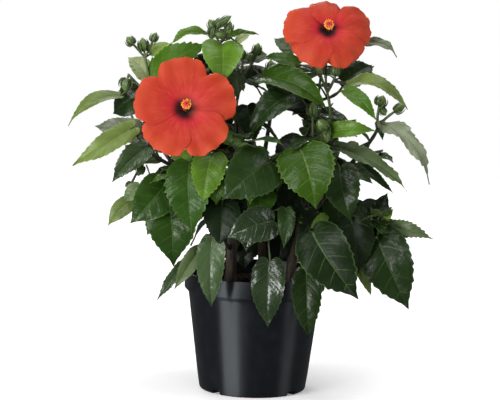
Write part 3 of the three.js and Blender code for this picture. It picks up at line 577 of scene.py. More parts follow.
wood = Joined()
for limb_name, (points, root_radius, tip_radius) in (TRUNKS | BOUGHS).items():
    is_trunk = limb_name in TRUNKS
    coarse = smooth_line(points, 14)
    stand(limb_name, tube(coarse, taper(coarse, root_radius, tip_radius), 8 if is_trunk else 4))
    line = smooth_line(points, BARK_STEP)
    radii = taper(line, root_radius, tip_radius)
    if is_trunk:
        for i, p in enumerate(line):
            near = max(0, 1 - (p.z - line[0].z) / FLARE_HEIGHT)
            radii[i] *= 1 + (FLARE_SPREAD - 1) * near ** 2
        line.append(line[-1] + (line[-1] - line[-2]) * 0.9)
        line.append(line[-1] + (line[-1] - line[-2]) * 0.5)
        radii += [tip_radius * 0.75, tip_radius * 0.3]

    def bark_relief(i, turn):
        out, along = math.cos(turn), math.sin(turn)
        ridge = noise.noise(Vector((out * 1.9, along * 1.9, i * 0.16 + root_radius)))
        crack = noise.noise(Vector((out * 4.5, along * 4.5, i * 0.45)))
        scar = max(0, 1 - abs((i * BARK_STEP) % SCAR_PITCH - SCAR_PITCH / 2) / 1.6)
        side = max(0, math.cos(turn - math.floor(i * BARK_STEP / SCAR_PITCH) * SCAR_TURN))
        foot = ROOT_RIB * max(0, 1 - i * BARK_STEP / 9) * math.cos(turn * 4 + 1) if is_trunk else 0
        return 1 + RIDGE * ridge + CRACK * crack + SCAR * scar * side + foot

    shape, faces = tube(line, radii, BARK_SIDES, bark_relief)
    wood.add(shape, faces, shade=0.2 if is_trunk else 0.7)

bark = Finish("bark")
bark_long = bark.grain(drawn_out(bark, bark.place, (420, 420, 90)), 1.0, 5.0)
bark_spots = bark.cells(bark.place, 700)
bark_old = bark.mix(bark_long.between(0.35, 0.7), paint(30, 22, 17), paint(74, 58, 44))
bark_new = bark.mix(bark_long.between(0.35, 0.7), paint(32, 27, 20), paint(60, 54, 36))
bark_tone = bark.mix(dealt_shade(bark), bark_old, bark_new)
bark_tone = bark.mix(1 - bark_spots.between(0.08, 0.22), bark_tone, paint(100, 86, 66))
bark_finish = bark.surface(bark_tone, bark_long * 0.2 + 0.62, bark_long, 0.5)
limbs = wood.make("trunks_and_boughs", [bark_finish], 70)
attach(limbs, "root")
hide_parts(*TRUNKS, *BOUGHS)


# ------------------------------------------------------------ young shoots
# From each bough's tip a young shoot grows on into its mass of foliage and forks there. Shoots are
# thin and smooth, brown at the foot and green at the tip, with a slight swelling at each leaf.

# In MASSES, stem and side hold the shoots' points. Each leaf or inner row is x, y, z of the blade's
# root, heading, pitch, length, width, lean of the face to the front, and its arch if not 0.1, with
# its tone and form in looks. Each bud row is x, y, z, radius and length. grown is how many leaves
# and twigs the seeded rule adds, the way they face and their spread.
MASSES = {
    "leaves_upper_left": {
        "stem": [(-74, -4, 204), (-85, -8, 238), (-94, -8, 267), (-101, -8, 288), (-105, -8, 306)],
        "side": [[(-94, -8, 267), (-112, -7, 282), (-120, -6, 290)]],
        "leaf": [
            (-96, -12, 286, 78, 37, 59, 36, 45), (-101, -6, 309, 123, 23, 24, 13, 40),
            (-97, -14, 286, 107, 50, 21, 10, 60), (-102, -6, 288, -122, 36, 29, 20, 50),
            (-128, -2, 270, -76, -29, 55, 28, 25, 0.16), (-108, 0, 272, -117, -34, 37, 26, 60),
        ],
        "looks": "lit-toothed young young pale olive-narrow dark-broad",
        "bud": [
            (-119, -7, 321, 4, 9), (-107, -8, 318, 4.4, 12), (-97, -8, 325, 3.4, 9),
            (-122, -8, 281, 5.5, 11),
        ],
        "grown": (4, 0, 150, 60),
    },
    "leaves_left_outer": {
        "stem": [(-74, -4, 204), (-90, -14, 214), (-100, -20, 222), (-110, -22, 235)],
        "leaf": [
            (-106, -6, 238, -100, 4, 46, 26, 75), (-113, -26, 244, -82, -32, 66, 30, 66),
            (-101, -26, 226, -69, -43, 45, 24, 70), (-89, -18, 212, -110, -14, 30, 13, 50),
            (-78, -22, 205, -71, -30, 22, 14, 60), (-71, -34, 223, 22, -34, 23, 18, 60),
        ],
        "looks": "silver-slim olive-narrow grey-folded dull-narrow dark bright",
        "bud": [(-107, -24, 204, 3.5, 10), (-116, -28, 190, 3.5, 8)],
        "grown": (3, 0, 180, 60),
    },
    "leaves_left_low": {
        "stem": [(-66, -32, 183), (-77, -42, 191), (-88, -46, 196), (-97, -46, 198)],
        "leaf": [
            (-82, -50, 197, -63, -45, 49, 34, 80), (-113, -34, 178, -75, -44, 32, 16, 60),
            (-106, -44, 193, -105, -46, 22, 14, 60), (-81, -40, 180, -78, -60, 37, 24, 70),
            (-78, -58, 181, 12, -72, 57, 40, 88), (-63, -40, 193, -60, -59, 31, 26, 80),
        ],
        "looks": "mid-round olive-round dull grey mid-curled dark",
        "inner": [(-50, -26, 194, -20, -70, 38, 24, 80)],
        "inner_looks": "dark",
        "grown": (2, 0, 200, 50),
    },
    "leaves_top_left": {
        "stem": [(-20, 5, 231), (-21, 0, 262), (-18, -2, 281), (-16, -2, 304)],
        "side": [
            [(-21, 2, 248), (-29, -4, 271), (-36, -10, 299), (-38, -12, 320), (-43, -12, 334)],
            [(-17, -2, 290), (-9, -3, 300), (-4, -4, 310)],
            [(-38, -12, 320), (-31, -10, 328)],
        ],
        "leaf": [
            (-50, -14, 330, -73, -16, 35, 24, 35, 0.2), (-29, -12, 329, 86, 6, 27, 11, 40),
            (-22, -4, 322, 122, 25, 16, 8, 50), (-35, -16, 321, 1, -48, 45, 42, 60),
            (-46, -8, 305, -102, -24, 20, 16, 60), (-8, -2, 306, 124, 16, 18, 14, 50),
            (-18, 0, 292, -125, -56, 31, 18, 70), (-13, 0, 287, 117, 12, 32, 22, 45),
            (2, -10, 291, 60, -19, 73, 34, 42, 0.13),
        ],
        "inner": [(-11, 8, 264, 30, -65, 36, 24, 70)],
        "inner_looks": "dark",
        "looks": "bright-thin lit-narrow pale bright-folded dark dull grey dark lit-folded",
        "bud": [
            (-45, -12, 338, 3.6, 10), (-38, -13, 340, 3.4, 10), (-33, -13, 342, 3.2, 14),
            (-29, -10, 336, 3.6, 10), (-16, -2, 311, 3.4, 9), (-3, -4, 316, 3.8, 11),
            (-9, -6, 309, 3.2, 9), (-44, -12, 330, 4, 12), (-36, -12, 329, 4.4, 13),
            (-30, -11, 330, 3.6, 11),
        ],
        "grown": (6, 0, 170, 80),
    },
    "leaves_centre": {
        "stem": [(0, -18, 197), (-1, -30, 206), (0, -37, 218), (4, -38, 228)],
        "side": [[(-1, -30, 206), (-20, -40, 218), (-38, -46, 228)]],
        "leaf": [
            (-61, -56, 217, 8, -65, 66, 40, 80), (-41, -52, 225, -14, -53, 51, 30, 80),
            (-39, -58, 213, 10, -63, 35, 26, 85), (-31, -56, 183, -7, -70, 41, 32, 85),
            (4, -40, 193, -11, -47, 36, 28, 80), (4, -40, 193, -62, -15, 40, 26, 70),
            (11, -46, 219, -58, -33, 59, 46, 75), (9, -44, 222, -67, 13, 46, 12, 60),
        ],
        "looks": "mid-toothed bright-toothed lit-toothed deep mid dark dark bright-narrow",
        "grown": (2, 0, 180, 70),
    },
    "leaves_centre_right": {
        "stem": [(50, -13, 208), (50, -16, 232), (49, -19, 258)],
        "side": [[(50, -15, 224), (58, -19, 238), (61, -21, 246)]],
        "leaf": [
            (34, -34, 278, -61, -36, 62, 34, 42, 0.22), (38, -50, 232, 27, -57, 60, 49, 88),
            (41, -28, 233, -110, -34, 34, 28, 60), (39, -20, 192, -61, -53, 34, 28, 70),
        ],
        "looks": "dark-slim lit-toothed deep deep",
        "bud": [(49, -20, 264, 5, 13), (58, -24, 250, 6, 14), (62, -26, 240, 4.5, 12)],
        "grown": (3, 0, 180, 70),
    },
    "leaves_right_top": {
        "stem": [(66, -6, 211), (65, -10, 233), (65, -12, 262), (61, -12, 283), (60, -12, 294)],
        "side": [
            [(62, -12, 279), (57, -13, 290), (55, -14, 296)],
            [(62, -12, 279), (67, -13, 289), (69, -14, 296)],
        ],
        "leaf": [
            (36, -14, 304, -106, 8, 37, 20, 50), (31, 10, 313, -123, 27, 25, 16, 50),
            (48, -10, 266, -128, 7, 56, 32, 45), (78, -6, 288, 129, 25, 36, 26, 50),
            (75, 0, 291, 114, -9, 25, 18, 60), (80, -16, 286, 72, -17, 60, 27, 36, 0.27),
            (95, 6, 323, 90, -20, 33, 15, 50, 0.28), (78, -20, 284, 57, -37, 41, 22, 60),
            (54, -6, 258, 64, -9, 33, 20, 40), (65, -22, 243, 70, 6, 44, 24, 66, 0.15),
            (75, 0, 241, 120, -13, 20, 14, 50), (72, -14, 229, 70, -26, 77, 24, 40, 0.08),
            (74, -36, 214, 30, -64, 52, 33, 85), (87, -10, 211, 57, -32, 26, 18, 70),
            (71, -20, 214, 90, -30, 18, 12, 60),
        ],
        "looks": "lit-narrow dull deep dark dark olive-narrow silver-narrow lit-narrow grey-narrow"
                 " bright-narrow grey-narrow dull-narrow dark grey-narrow deep",
        "bud": [(54, -14, 300, 3.8, 11), (69, -14, 300, 4, 11)],
        "grown": (4, 0, 180, 60),
    },
    "leaves_right_outer": {
        "stem": [(96, 8, 223), (103, 6, 232), (109, 2, 244), (109, 0, 256), (110, 0, 266)],
        "side": [[(109, 1, 247), (118, 0, 256), (124, -1, 261)]],
        "leaf": [
            (85, 2, 223, 63, -6, 31, 18, 50), (91, 12, 225, -133, 9, 15, 12, 50),
            (97, 4, 210, 67, -36, 39, 13, 60), (113, -2, 250, 62, -44, 71, 22, 45, 0.34),
            (111, -2, 250, 17, -50, 20, 13, 70),
        ],
        "looks": "olive-narrow pale dark-narrow silver-wavy dark-narrow",
        "bud": [(112, 0, 271, 5, 10), (129, -1, 265, 4, 12), (114, -2, 261, 3.2, 8)],
        "grown": (2, 0, 200, 60),
    },
    "leaves_right_low": {
        "stem": [(86, -30, 154), (99, -35, 158), (111, -36, 161), (119, -36, 163)],
        "leaf": [
            (107, -28, 160, 110, 66, 32, 18, 60), (117, -38, 167, 48, 49, 14, 8, 70),
            (119, -38, 161, 68, -9, 44, 22, 62), (108, -52, 156, 55, -60, 75, 46, 85),
            (96, -22, 178, 20, -60, 42, 36, 80), (81, -20, 172, 111, -24, 32, 26, 60),
            (93, -60, 124, 81, -62, 27, 13, 70),
        ],
        "looks": "deep young dull-wavy dark deep deep olive-narrow",
        "inner": [(86, -42, 168, 20, -66, 50, 34, 80)],
        "inner_looks": "deep",
        "grown": (3, 0, 150, 50),
    },
    "leaves_front_left": {
        "stem": [(-36, -48, 152), (-39, -60, 155), (-40, -70, 157)],
        "leaf": [
            (-39, -80, 151, 4, -81, 63, 30, 85), (-50, -66, 139, -51, -50, 44, 24, 75),
            (-63, -44, 124, -61, -49, 44, 16, 60),
        ],
        "looks": "grey-slim dull-narrow grey-narrow",
        "grown": (0, 0, 0, 0),
    },
    "leaves_front_middle": {
        "stem": [(8, -30, 162), (9, -44, 167), (8, -56, 172)],
        "leaf": [
            (-6, -66, 173, -7, -55, 39, 31, 70), (26, -60, 178, -3, -62, 38, 17, 85),
            (13, -78, 133, -2, -78, 60, 36, 88),
        ],
        "looks": "gloss dark-folded gloss-slim",
        "inner": [(16, -62, 167, -75, -18, 46, 32, 75)],
        "inner_looks": "gloss",
        "grown": (0, 0, 0, 0),
    },
    "leaves_front_right": {
        "stem": [(43, -42, 134), (44, -52, 137), (45, -60, 139)],
        "leaf": [
            (46, -70, 124, 15, -78, 61, 32, 85), (56, -34, 172, -58, -49, 29, 24, 70),
            (63, -50, 171, -61, -34, 20, 9, 70), (50, -64, 158, 58, -48, 75, 46, 78),
        ],
        "looks": "dark-slim deep bright veined",
        "grown": (0, 0, 0, 0),
    },
    "leaves_left_back": {
        "stem": [(-84, 44, 208), (-96, 52, 226), (-100, 56, 250)],
        "bud": [(-101, 56, 256, 4, 10)],
        "grown": (9, 3, 225, 110),
    },
    "leaves_back_left": {
        "stem": [(-32, 56, 220), (-44, 70, 248), (-48, 76, 284)],
        "bud": [(-48, 76, 291, 4.5, 12)],
        "grown": (10, 4, 195, 130),
    },
    "leaves_back_right": {
        "stem": [(44, 58, 224), (54, 74, 250), (58, 80, 286)],
        "bud": [(58, 80, 293, 4.5, 12)],
        "grown": (10, 4, 165, 130),
    },
    "leaves_back_low": {
        "stem": [(2, 70, 156), (0, 88, 166), (-2, 102, 184)],
        "leaf": [
            (24, 46, 176, 20, -72, 60, 38, 80), (-12, 44, 172, -15, -72, 56, 36, 80),
            (6, 56, 188, 5, -60, 52, 36, 80), (30, 40, 150, 25, -62, 40, 36, 80),
            (-12, 38, 150, -20, -64, 42, 36, 80),
        ],
        # the leaves at the back all take the deepest tone, partly as painted shade
        "looks": "deep deep deep deep deep",
        "inner": [
            (-8, 64, 146, -10, -75, 46, 34, 85), (12, 68, 149, 5, -72, 50, 36, 85),
            (30, 64, 147, 0, -70, 46, 34, 80), (22, 30, 150, 0, -74, 40, 30, 85),
            (-24, 30, 160, -10, -70, 46, 34, 85),
        ],
        "inner_looks": "deep deep deep deep deep",
        "grown": (10, 5, 180, 150),
    },
    "leaves_back_top": {
        "stem": [(10, 30, 244), (12, 36, 266), (10, 38, 290)],
        "bud": [(10, 38, 297, 4, 11)],
        "grown": (8, 2, 180, 160),
    },
    "leaves_right_back": {
        "stem": [(78, 46, 184), (92, 58, 196), (98, 66, 214)],
        "leaf": [
            (78, 18, 188, -6, -68, 48, 32, 80), (62, 22, 190, -10, -70, 50, 30, 80),
        ],
        "looks": "dark dark",
        "grown": (9, 3, 140, 110),
    },
}
STEM_ROOT, SIDE_ROOT, SHOOT_TIP = 1.9, 1.5, 1.1
SHOOT_STEP, SHOOT_SIDES, SWELL = 2.6, 9, 0.14

green_wood = Joined()


def grow_shoot(points, root, tip, foot_shade=0.0):
    """A young shoot: its colour runs from brown at 0 to green at 1 along its length."""
    line = smooth_line(points, SHOOT_STEP)
    radii = taper(line, root, tip)
    for i in range(len(line)):
        swell = max(0, 1 - abs((i * SHOOT_STEP) % SCAR_PITCH - SCAR_PITCH / 2) / 2.2)
        radii[i] *= 1 + SWELL * swell
    line.append(line[-1] + (line[-1] - line[-2]).normalized() * tip)
    radii.append(tip * 0.3)
    share = [foot_shade + (1 - foot_shade) * i / (len(line) - 1) for i in range(len(line))]
    shape, faces = tube(line, radii, SHOOT_SIDES)
    green_wood.add(shape, faces, shade=[s for s in share for _ in range(SHOOT_SIDES)])


masses = []
for mass_name, spec in MASSES.items():
    mass = SimpleNamespace(name=mass_name, spec=spec)
    shoot_points = [spec["stem"]] + spec.get("side", [])
    mass.shoots = [smooth_line(points, 12) for points in shoot_points]
    for k, (points, line) in enumerate(zip(shoot_points, mass.shoots)):
        root_radius = SIDE_ROOT if k else STEM_ROOT
        stand(mass_name, tube(line, taper(line, root_radius, SHOOT_TIP), 3 if k else 4))
        grow_shoot(points, root_radius, SHOOT_TIP, 0.45 if k else 0.1)
    masses.append(mass)


# ------------------------------------------------------------ flower buds
# Green flower buds stand on short stalks at the shoots' tips. Each is five sepals closed to a
# pointed, ribbed egg, in a ring of slender bracts that curve out from its foot.

BUD_PROFILE = [                        # shares of the bud's length and radius
    (-0.5, 0.42), (-0.42, 0.72), (-0.28, 0.94), (-0.08, 1.0), (0.12, 0.9), (0.28, 0.68),
    (0.40, 0.42), (0.48, 0.2), (0.53, 0.06)]
BUD_SIDES, BUD_RIBS, BUD_RIB_DEPTH = 20, 5, 0.10
BRACTS = 7
BRACT_CURVE = [(-0.50, 0.5), (-0.42, 0.98), (-0.16, 1.22), (0.12, 1.2), (0.36, 0.98)]
BRACT_WIDTH = [0.14, 0.17, 0.15, 0.10, 0.03]

buds = Joined()


def bract_ring(foot, ahead, length, radius, count, curve, start=0.0):
    """Slender bracts round a bud or calyx, each a curved blade that tapers to its tip."""
    across = ahead.orthogonal().normalized()
    third = ahead.cross(across)
    for k in range(count):
        turn = start + 2 * math.pi * (k + 0.3 * random()) / count
        out = across * math.cos(turn) + third * math.sin(turn)
        line = [foot + ahead * s * length + out * r * radius for s, r in curve]
        radii = [max(w * radius, 0.09) for w in BRACT_WIDTH]
        shape, faces = tube(smooth_line(line, 99), radii, 5)
        buds.add(shape, faces, slot=1, shade=random())


def grow_bud(mass_name, tip, radius, length, shoots):
    """A bud on its stalk from the nearest shoot, unless it would meet another mass."""
    middle = Vector(tip)
    foot = min((p for shoot in shoots for p in shoot), key=lambda p: (p - middle).length)
    ahead = (middle - foot).normalized()
    coarse = [foot] + [middle + ahead * s * length for s in (-0.5, -0.2, 0.25, 0.5)]
    shape = tube(coarse, [1.1] + [share * radius for share in (0.35, 1, 0.8, 0.15)], 5)
    if meets(shape, [other for other in standing if other.node != mass_name]):
        return
    stand(mass_name, shape)
    line = [middle + ahead * s * length for s, _ in BUD_PROFILE]
    first = random() * 6

    def ribs(i, turn):
        return 1 + BUD_RIB_DEPTH * math.cos(BUD_RIBS * turn + first) * min(i / 3, 1)

    points, faces = tube(line, [share * radius for _, share in BUD_PROFILE], BUD_SIDES, ribs)
    shade = [0.25 + 0.75 * i / len(line) for i in range(len(line)) for _ in range(BUD_SIDES)]
    buds.add(points, faces, shade=shade)
    stalk = smooth_line([foot, foot + (line[0] - foot) * 0.5, line[1]], 2.5)
    points, faces = tube(stalk, taper(stalk, 0.95, 1.15), 8)
    buds.add(points, faces, slot=1, shade=0.3)
    bract_ring(middle, ahead, length, radius, BRACTS, BRACT_CURVE, first)


for mass in masses:
    for x, y, z, radius, length in mass.spec.get("bud", []):
        grow_bud(mass.name, (x, y, z), radius, length, mass.shoots)


# ------------------------------------------------------------ open flowers
# Five broad petals overlap in a ring, each thin, ruffled at its rim and marked from a dark eye. A
# long column stands out of the throat with its stamens and five stigma pads, on a green calyx.

BLOOMS = {                             # petals: each one's middle clockwise from the top, reach
                                       # laid: the same for the fine petal, with its breadth
    "bloom_left": {
        "throat": (-66, -66, 262), "heading": 2, "pitch": 18, "radius": 49, "column": 40,
        "raised": 6, "reach": 46, "leaning": (3, 12), "reflex": 0,
        "petals": [(71, 1), (143.7, 1), (214, 1), (282.7, 1), (353.8, 1)],
        "laid": [(71, 1, 1), (143.7, 1, 1), (214, 1, 1), (282.7, 1, 1), (353.8, 1, 1)],
        "stalk": [(-32, -5, 285), (-48, -14, 276), (-62, -34, 264), (-66, -52, 259)],
    },
    "bloom_right": {
        "throat": (61, -30, 333), "heading": 4, "pitch": 30, "radius": 43, "column": 28,
        "raised": 7.8, "reach": 41, "leaning": (-1, 10), "reflex": 11,
        "petals": [(71, 0.98), (143.7, 0.86), (214, 0.86), (282.7, 0.98), (353.8, 0.86)],
        "laid": [
            (77, 0.98, 1), (137, 0.91, 1.14), (220, 0.91, 1.14), (280, 0.98, 1), (353.8, 0.76, 1)],
        "stalk": [(60, -12, 292), (60, -4, 308), (60, -8, 320), (61, -18, 328)],
    },
}
PETAL_FUNNEL, PETAL_SPREAD, PETAL_THICKNESS = 11, 47, 0.35
PETAL_ALONG, PETAL_ACROSS = (0.08, 0.42, 0.80, 1.0), (0.86, 0.90, 0.96, 0.46)
PETAL_ROWS, PETAL_COLUMNS = 30, 30
PETAL_COARSE = 1.3                     # thickness of the coarse petal
PETAL_CORNER = 0.33                    # how much shorter a petal is at its sides
RUFFLE, RUFFLES = 1.5, 3.2
CALYX = [                              # lift under the funnel's edge and radius
    (-14, 1.6), (-13.4, 3.0), (-11.5, 4.0), (-8, 4.5), (-4.5, 4.8), (-1.6, 5.0), (-2, 4.6),
    (-5, 3.6)]
CALYX_SIDES, CALYX_TEETH, CALYX_RIB = 30, 5, 0.10
COLUMN_STEPS, COLUMN_SIDES = 14, 12
STAMENS, FILAMENT, ANTHER, STAMENS_LONG = 58, 2.6, 0.62, 13
GOLDEN_TURN = 137.5                    # between one stamen or leaf and the next
STIGMAS, STIGMA_SPREAD, STIGMA_PAD = 5, 1.5, 0.85
CALYX_BRACTS = [(-0.52, 0.5), (-0.3, 1.15), (0.0, 1.75), (0.3, 2.1), (0.55, 2.2)]


def bloom_place(bloom, raised=0.0, leaning=None):
    """Points of a bloom by angle from its top, radius and lift along its axis."""
    axis = direction(*(leaning or (bloom["heading"], bloom["pitch"])))
    across = Vector((0, 0, 1)).cross(axis).normalized()
    up = axis.cross(across)
    throat = Vector(bloom["throat"]) + Vector((0, 0, raised))

    def place(angle, radius, lift):
        turn = math.radians(angle)
        out = throat + across * math.sin(turn) * radius + up * math.cos(turn) * radius
        return out + axis * lift

    return place


def petal_lift(s, side, twist):
    """How far a petal stands over the throat: a funnel that opens flat, one side higher."""
    return -PETAL_FUNNEL * (1 - s) ** 2 - 3 * s ** 4 + twist * 1.6 * side * s


def blade_faces(rows):
    """Faces of a coarse blade: rows of left, upper, lower and right, and a tip."""
    faces, tip = [], rows * 4
    for near, far in ((1, 0), (3, 1), (0, 2), (2, 3)):
        for first in range(0, (rows - 1) * 4, 4):
            faces.append([first + near, first + 4 + near, first + 4 + far, first + far])
        faces.append([(rows - 1) * 4 + near, tip, (rows - 1) * 4 + far])
    return faces + [[1, 0, 2], [1, 2, 3]]


def coarse_petal(place, middle, reach, twist):
    """A petal as the coarse solid has it."""
    points, thick = [], PETAL_COARSE / 2
    for s, share in zip(PETAL_ALONG, PETAL_ACROSS):
        half, r = share * PETAL_SPREAD, reach * s
        edge = r * (0.97 if s > 0.95 else 1)
        points += [
            place(middle - half, edge, petal_lift(s, 1, twist)),
            place(middle, r, petal_lift(s, 0, twist) + thick),
            place(middle, r, petal_lift(s, 0, twist) - thick),
            place(middle + half, edge, petal_lift(s, -1, twist))]
    points.append(place(middle, reach * 1.01, petal_lift(1, 0, twist)))
    return points, blade_faces(len(PETAL_ALONG))


def two_skins(upper, lower, rows, columns):
    """Faces of a closed sheet: an upper and a lower grid of points, sewn along the edge."""
    wide = columns + 1
    count = (rows + 1) * wide
    top, bottom = [], []
    for i in range(rows):
        for j in range(columns):
            a = i * wide + j
            quad = [a, a + 1, a + wide + 1, a + wide]
            top.append(quad)
            bottom.append([count + corner for corner in reversed(quad)])
    rim = (list(range(wide)) + [i * wide + columns for i in range(1, rows + 1)]
           + [rows * wide + j for j in range(columns - 1, -1, -1)]
           + [i * wide for i in range(rows - 1, 0, -1)])
    edge = [[b, a, count + a, count + b] for a, b in zip(rim, rim[1:] + rim[:1])]
    return upper + lower, top, bottom + edge


def petal(place, middle, reach, spread, twist, first, reflex):
    """A petal: its two skins with the marks that its colours follow."""
    upper, lower, marks = [], [], []
    for i in range(PETAL_ROWS + 1):
        s = 0.05 + 0.95 * i / PETAL_ROWS
        share = spread * (0.84 + 0.14 * math.sin(math.pi * min(s * 1.05, 1)))
        for j in range(PETAL_COLUMNS + 1):
            side = 1 - 2 * j / PETAL_COLUMNS
            wave = math.sin(2 * math.pi * (RUFFLES * side / 2 + first))
            wave += 0.5 * math.sin(11 * side + 9 * first)
            nick = 0.012 * math.sin(17 * side + 20 * first)
            nick += 0.006 * math.sin(41 * side + 5 * first)
            r = reach * s * (1 - (PETAL_CORNER * abs(side) ** 5 - nick) * s ** 5)
            ribs = 0.22 * math.sin(23 * side + 2 * math.sin(5 * s + first * 9)) * s * (1 - 0.6 * s)
            lift = petal_lift(s, side, twist * 0.7) + RUFFLE * wave * s ** 4 + ribs
            lift -= 1.5 * (abs(side) ** 3) * s * s + reflex * s ** 3
            angle = middle - side * share
            upper.append(place(angle, r, lift + PETAL_THICKNESS / 2))
            lower.append(place(angle, r, lift - PETAL_THICKNESS / 2))
            marks.append((side + 4 * first, s))
    points, top, rest = two_skins(upper, lower, PETAL_ROWS, PETAL_COLUMNS)
    return points, top + rest, marks + marks


def ball(middle, radius, around=7, rings=4):
    """A small closed ball."""
    turns = [math.pi * i / rings for i in range(rings + 1)]
    line = [middle + Vector((0, 0, -radius * math.cos(turn))) for turn in turns]
    return tube(line, [max(math.sin(turn), 0.05) * radius for turn in turns], around)


def grown_marks(finish):
    """The marks that a mesh was given as it grew, for its colours to follow."""
    return finish.add("ShaderNodeUVMap", {"uv_map": "Grown"})


def part(finish, marks, axis):
    """One of the two numbers of a mark."""
    return finish.add("ShaderNodeSeparateXYZ", {}, {0: marks}, axis)


bloom_pieces = []
for bloom_name, bloom in BLOOMS.items():
    place = bloom_place(bloom)
    fine_place = bloom_place(bloom, bloom["raised"])
    petals = Joined()
    for k, (middle, share) in enumerate(bloom["petals"]):
        twist = 0.8 + 0.5 * (k % 2)
        stand(bloom_name, coarse_petal(place, middle, bloom["radius"] * share, twist))
        middle, share, breadth = bloom["laid"][k]
        points, faces, marks = petal(
            fine_place, middle, bloom["reach"] * share, PETAL_SPREAD * breadth, twist, k * 0.37,
            bloom["reflex"])
        petals.add(points, faces, marks=marks, shade=random())

    # the coarse core that leaves keep clear of, then the calyx and its stalk
    core = [
        (-PETAL_FUNNEL - 14, 2.8), (-PETAL_FUNNEL + 1, 6.4), (bloom["column"] - 12, 1.7),
        (bloom["column"] + 1.5, 2.4)]
    core_line = [place(0, 0, lift) for lift, _ in core]
    stand(bloom_name, tube(core_line, [radius for _, radius in core], 7))
    stalk = smooth_line([*bloom["stalk"], place(0, 0, -PETAL_FUNNEL - 8)], 14)
    stand(bloom_name, tube(stalk, taper(stalk, 1.5, 1.6), 4))
    axis = place(0, 0, 1) - place(0, 0, 0)
    stalk = smooth_line([*bloom["stalk"], fine_place(0, 0, -PETAL_FUNNEL - 12)], 3)
    points, faces = tube(stalk, taper(stalk, 1.4, 1.7), 10)
    green_wood.add(points, faces, shade=0.3)

    def sepals(i, turn):
        open_share = max(0, (i - 3) / 5)
        return 1 + CALYX_RIB * math.cos(CALYX_TEETH * turn) * (1 + open_share)

    line = [fine_place(0, 0, lift - PETAL_FUNNEL) for lift, _ in CALYX]
    points, faces = tube(line, [radius for _, radius in CALYX], CALYX_SIDES, sepals)
    buds.add(points, faces, shade=0.6)
    bract_ring(fine_place(0, 0, -PETAL_FUNNEL - 8), axis, 11, 3.4, 8, CALYX_BRACTS)

    # staminal column, with stamens round its outer part and the stigma at its tip
    heart = Joined()
    length = bloom["column"]
    bare = length - STAMENS_LONG
    place = bloom_place(bloom, bloom["raised"] - 1, bloom["leaning"])
    axis = place(0, 0, 1) - place(0, 0, 0)
    lifts = [
        -PETAL_FUNNEL + 2 + (length + PETAL_FUNNEL - 2) * i / COLUMN_STEPS
        for i in range(COLUMN_STEPS + 1)]
    line = [place(0, 0, lift) for lift in lifts]
    points, faces = tube(line, taper(line, 2.0, 1.0), COLUMN_SIDES)
    marks = [(0, i / COLUMN_STEPS) for i in range(len(line)) for _ in range(COLUMN_SIDES)]
    heart.add(points, faces, slot=0, marks=marks)
    for k in range(STAMENS):
        along = bare + (length - bare) * (k + 0.5) / STAMENS
        turn = k * GOLDEN_TURN + 20 * random()
        rise = 0.3 + 1.6 * random() + 1.4 * max(0, (along - length + 4) / 4)
        reach = FILAMENT * (0.8 + 0.5 * random())
        foot, tip = place(turn, 0.9, along), place(turn, 0.9 + reach, along + rise)
        points, faces = tube([foot, (foot + tip) / 2 + axis * 0.2, tip], [0.14, 0.11, 0.10], 4)
        heart.add(points, faces, slot=1)
        points, faces = ball(tip, ANTHER * (0.85 + 0.3 * random()))
        heart.add(points, faces, slot=2, shade=random())
    for k in range(STIGMAS):
        turn = 36 + 360 * k / STIGMAS
        foot, tip = place(turn, 0.3, length - 1), place(turn, STIGMA_SPREAD, length + 3.2)
        points, faces = tube([foot, place(turn, 0.6, length + 1.5), tip], [0.3, 0.26, 0.24], 6)
        heart.add(points, faces, slot=3)
        points, faces = ball(tip, STIGMA_PAD, 10, 6)
        heart.add(points, faces, slot=3)
    bloom_pieces.append((bloom_name, petals, heart))

petal_skin = Finish("petal")
petal_marks = grown_marks(petal_skin)
petal_along = part(petal_skin, petal_marks, 1)
streaks = petal_skin.grain(drawn_out(petal_skin, petal_marks, (9, 1.3, 1)), 3.0, 4.0)
blotch = petal_skin.grain(petal_skin.place, 60, 2.0)
eye_edge = petal_along + (streaks - 0.5) * 0.16
petal_tone = petal_skin.add("ShaderNodeValToRGB", {"stops": [
    (0.10, paint(26, 9, 11)), (0.17, paint(58, 10, 16)), (0.235, paint(138, 18, 30)),
    (0.30, paint(166, 30, 36)), (0.46, paint(160, 40, 28)), (0.80, paint(156, 44, 24)),
    (1.0, paint(168, 58, 32))]}, {0: eye_edge})
ray_share = petal_along.between(0.14, 0.3) * (1 - petal_along.between(0.4, 0.85))
dark_ray = streaks.between(0.5, 0.72) * ray_share * 0.42
pale_ray = (1 - streaks.between(0.3, 0.46)) * ray_share * 0.38
petal_tone = petal_skin.mix(dark_ray, petal_tone, paint(140, 18, 32))
petal_tone = petal_skin.mix(pale_ray, petal_tone, paint(214, 84, 86))
petal_tone = petal_skin.mix(blotch.between(0.4, 0.7) * 0.25, petal_tone, paint(178, 74, 44))
petal_finish = petal_skin.surface(
    petal_tone, streaks * 0.12 + 0.50, streaks * 0.8 + blotch * 0.2, 0.35, Specular_IOR_Level=0.16)

column_skin = Finish("column")
column_along = part(column_skin, grown_marks(column_skin), 1).between(0.3, 0.9)
column_grain = column_skin.grain(column_skin.place, 700, 3.0)
column_tone = column_skin.mix(column_along, paint(170, 24, 34), paint(226, 112, 60))
column_finish = column_skin.surface(column_tone, column_grain * 0.1 + 0.45, column_grain, 0.05)
filament_skin = Finish("filament")
filament_tone = filament_skin.mix(
    filament_skin.grain(filament_skin.place, 500), paint(214, 60, 44), paint(240, 140, 84))
filament_finish = filament_skin.surface(filament_tone, 0.5)


def matt_skin(name, scale, spread, dark, light, roughness, depth):
    """A matt skin with one fine grain between its two tones."""
    skin = Finish(name)
    grain = skin.grain(skin.place, scale, 3.0)
    tone = skin.mix(grain.between(0.5 - spread, 0.5 + spread), dark, light)
    return skin.surface(tone, roughness, grain, depth)


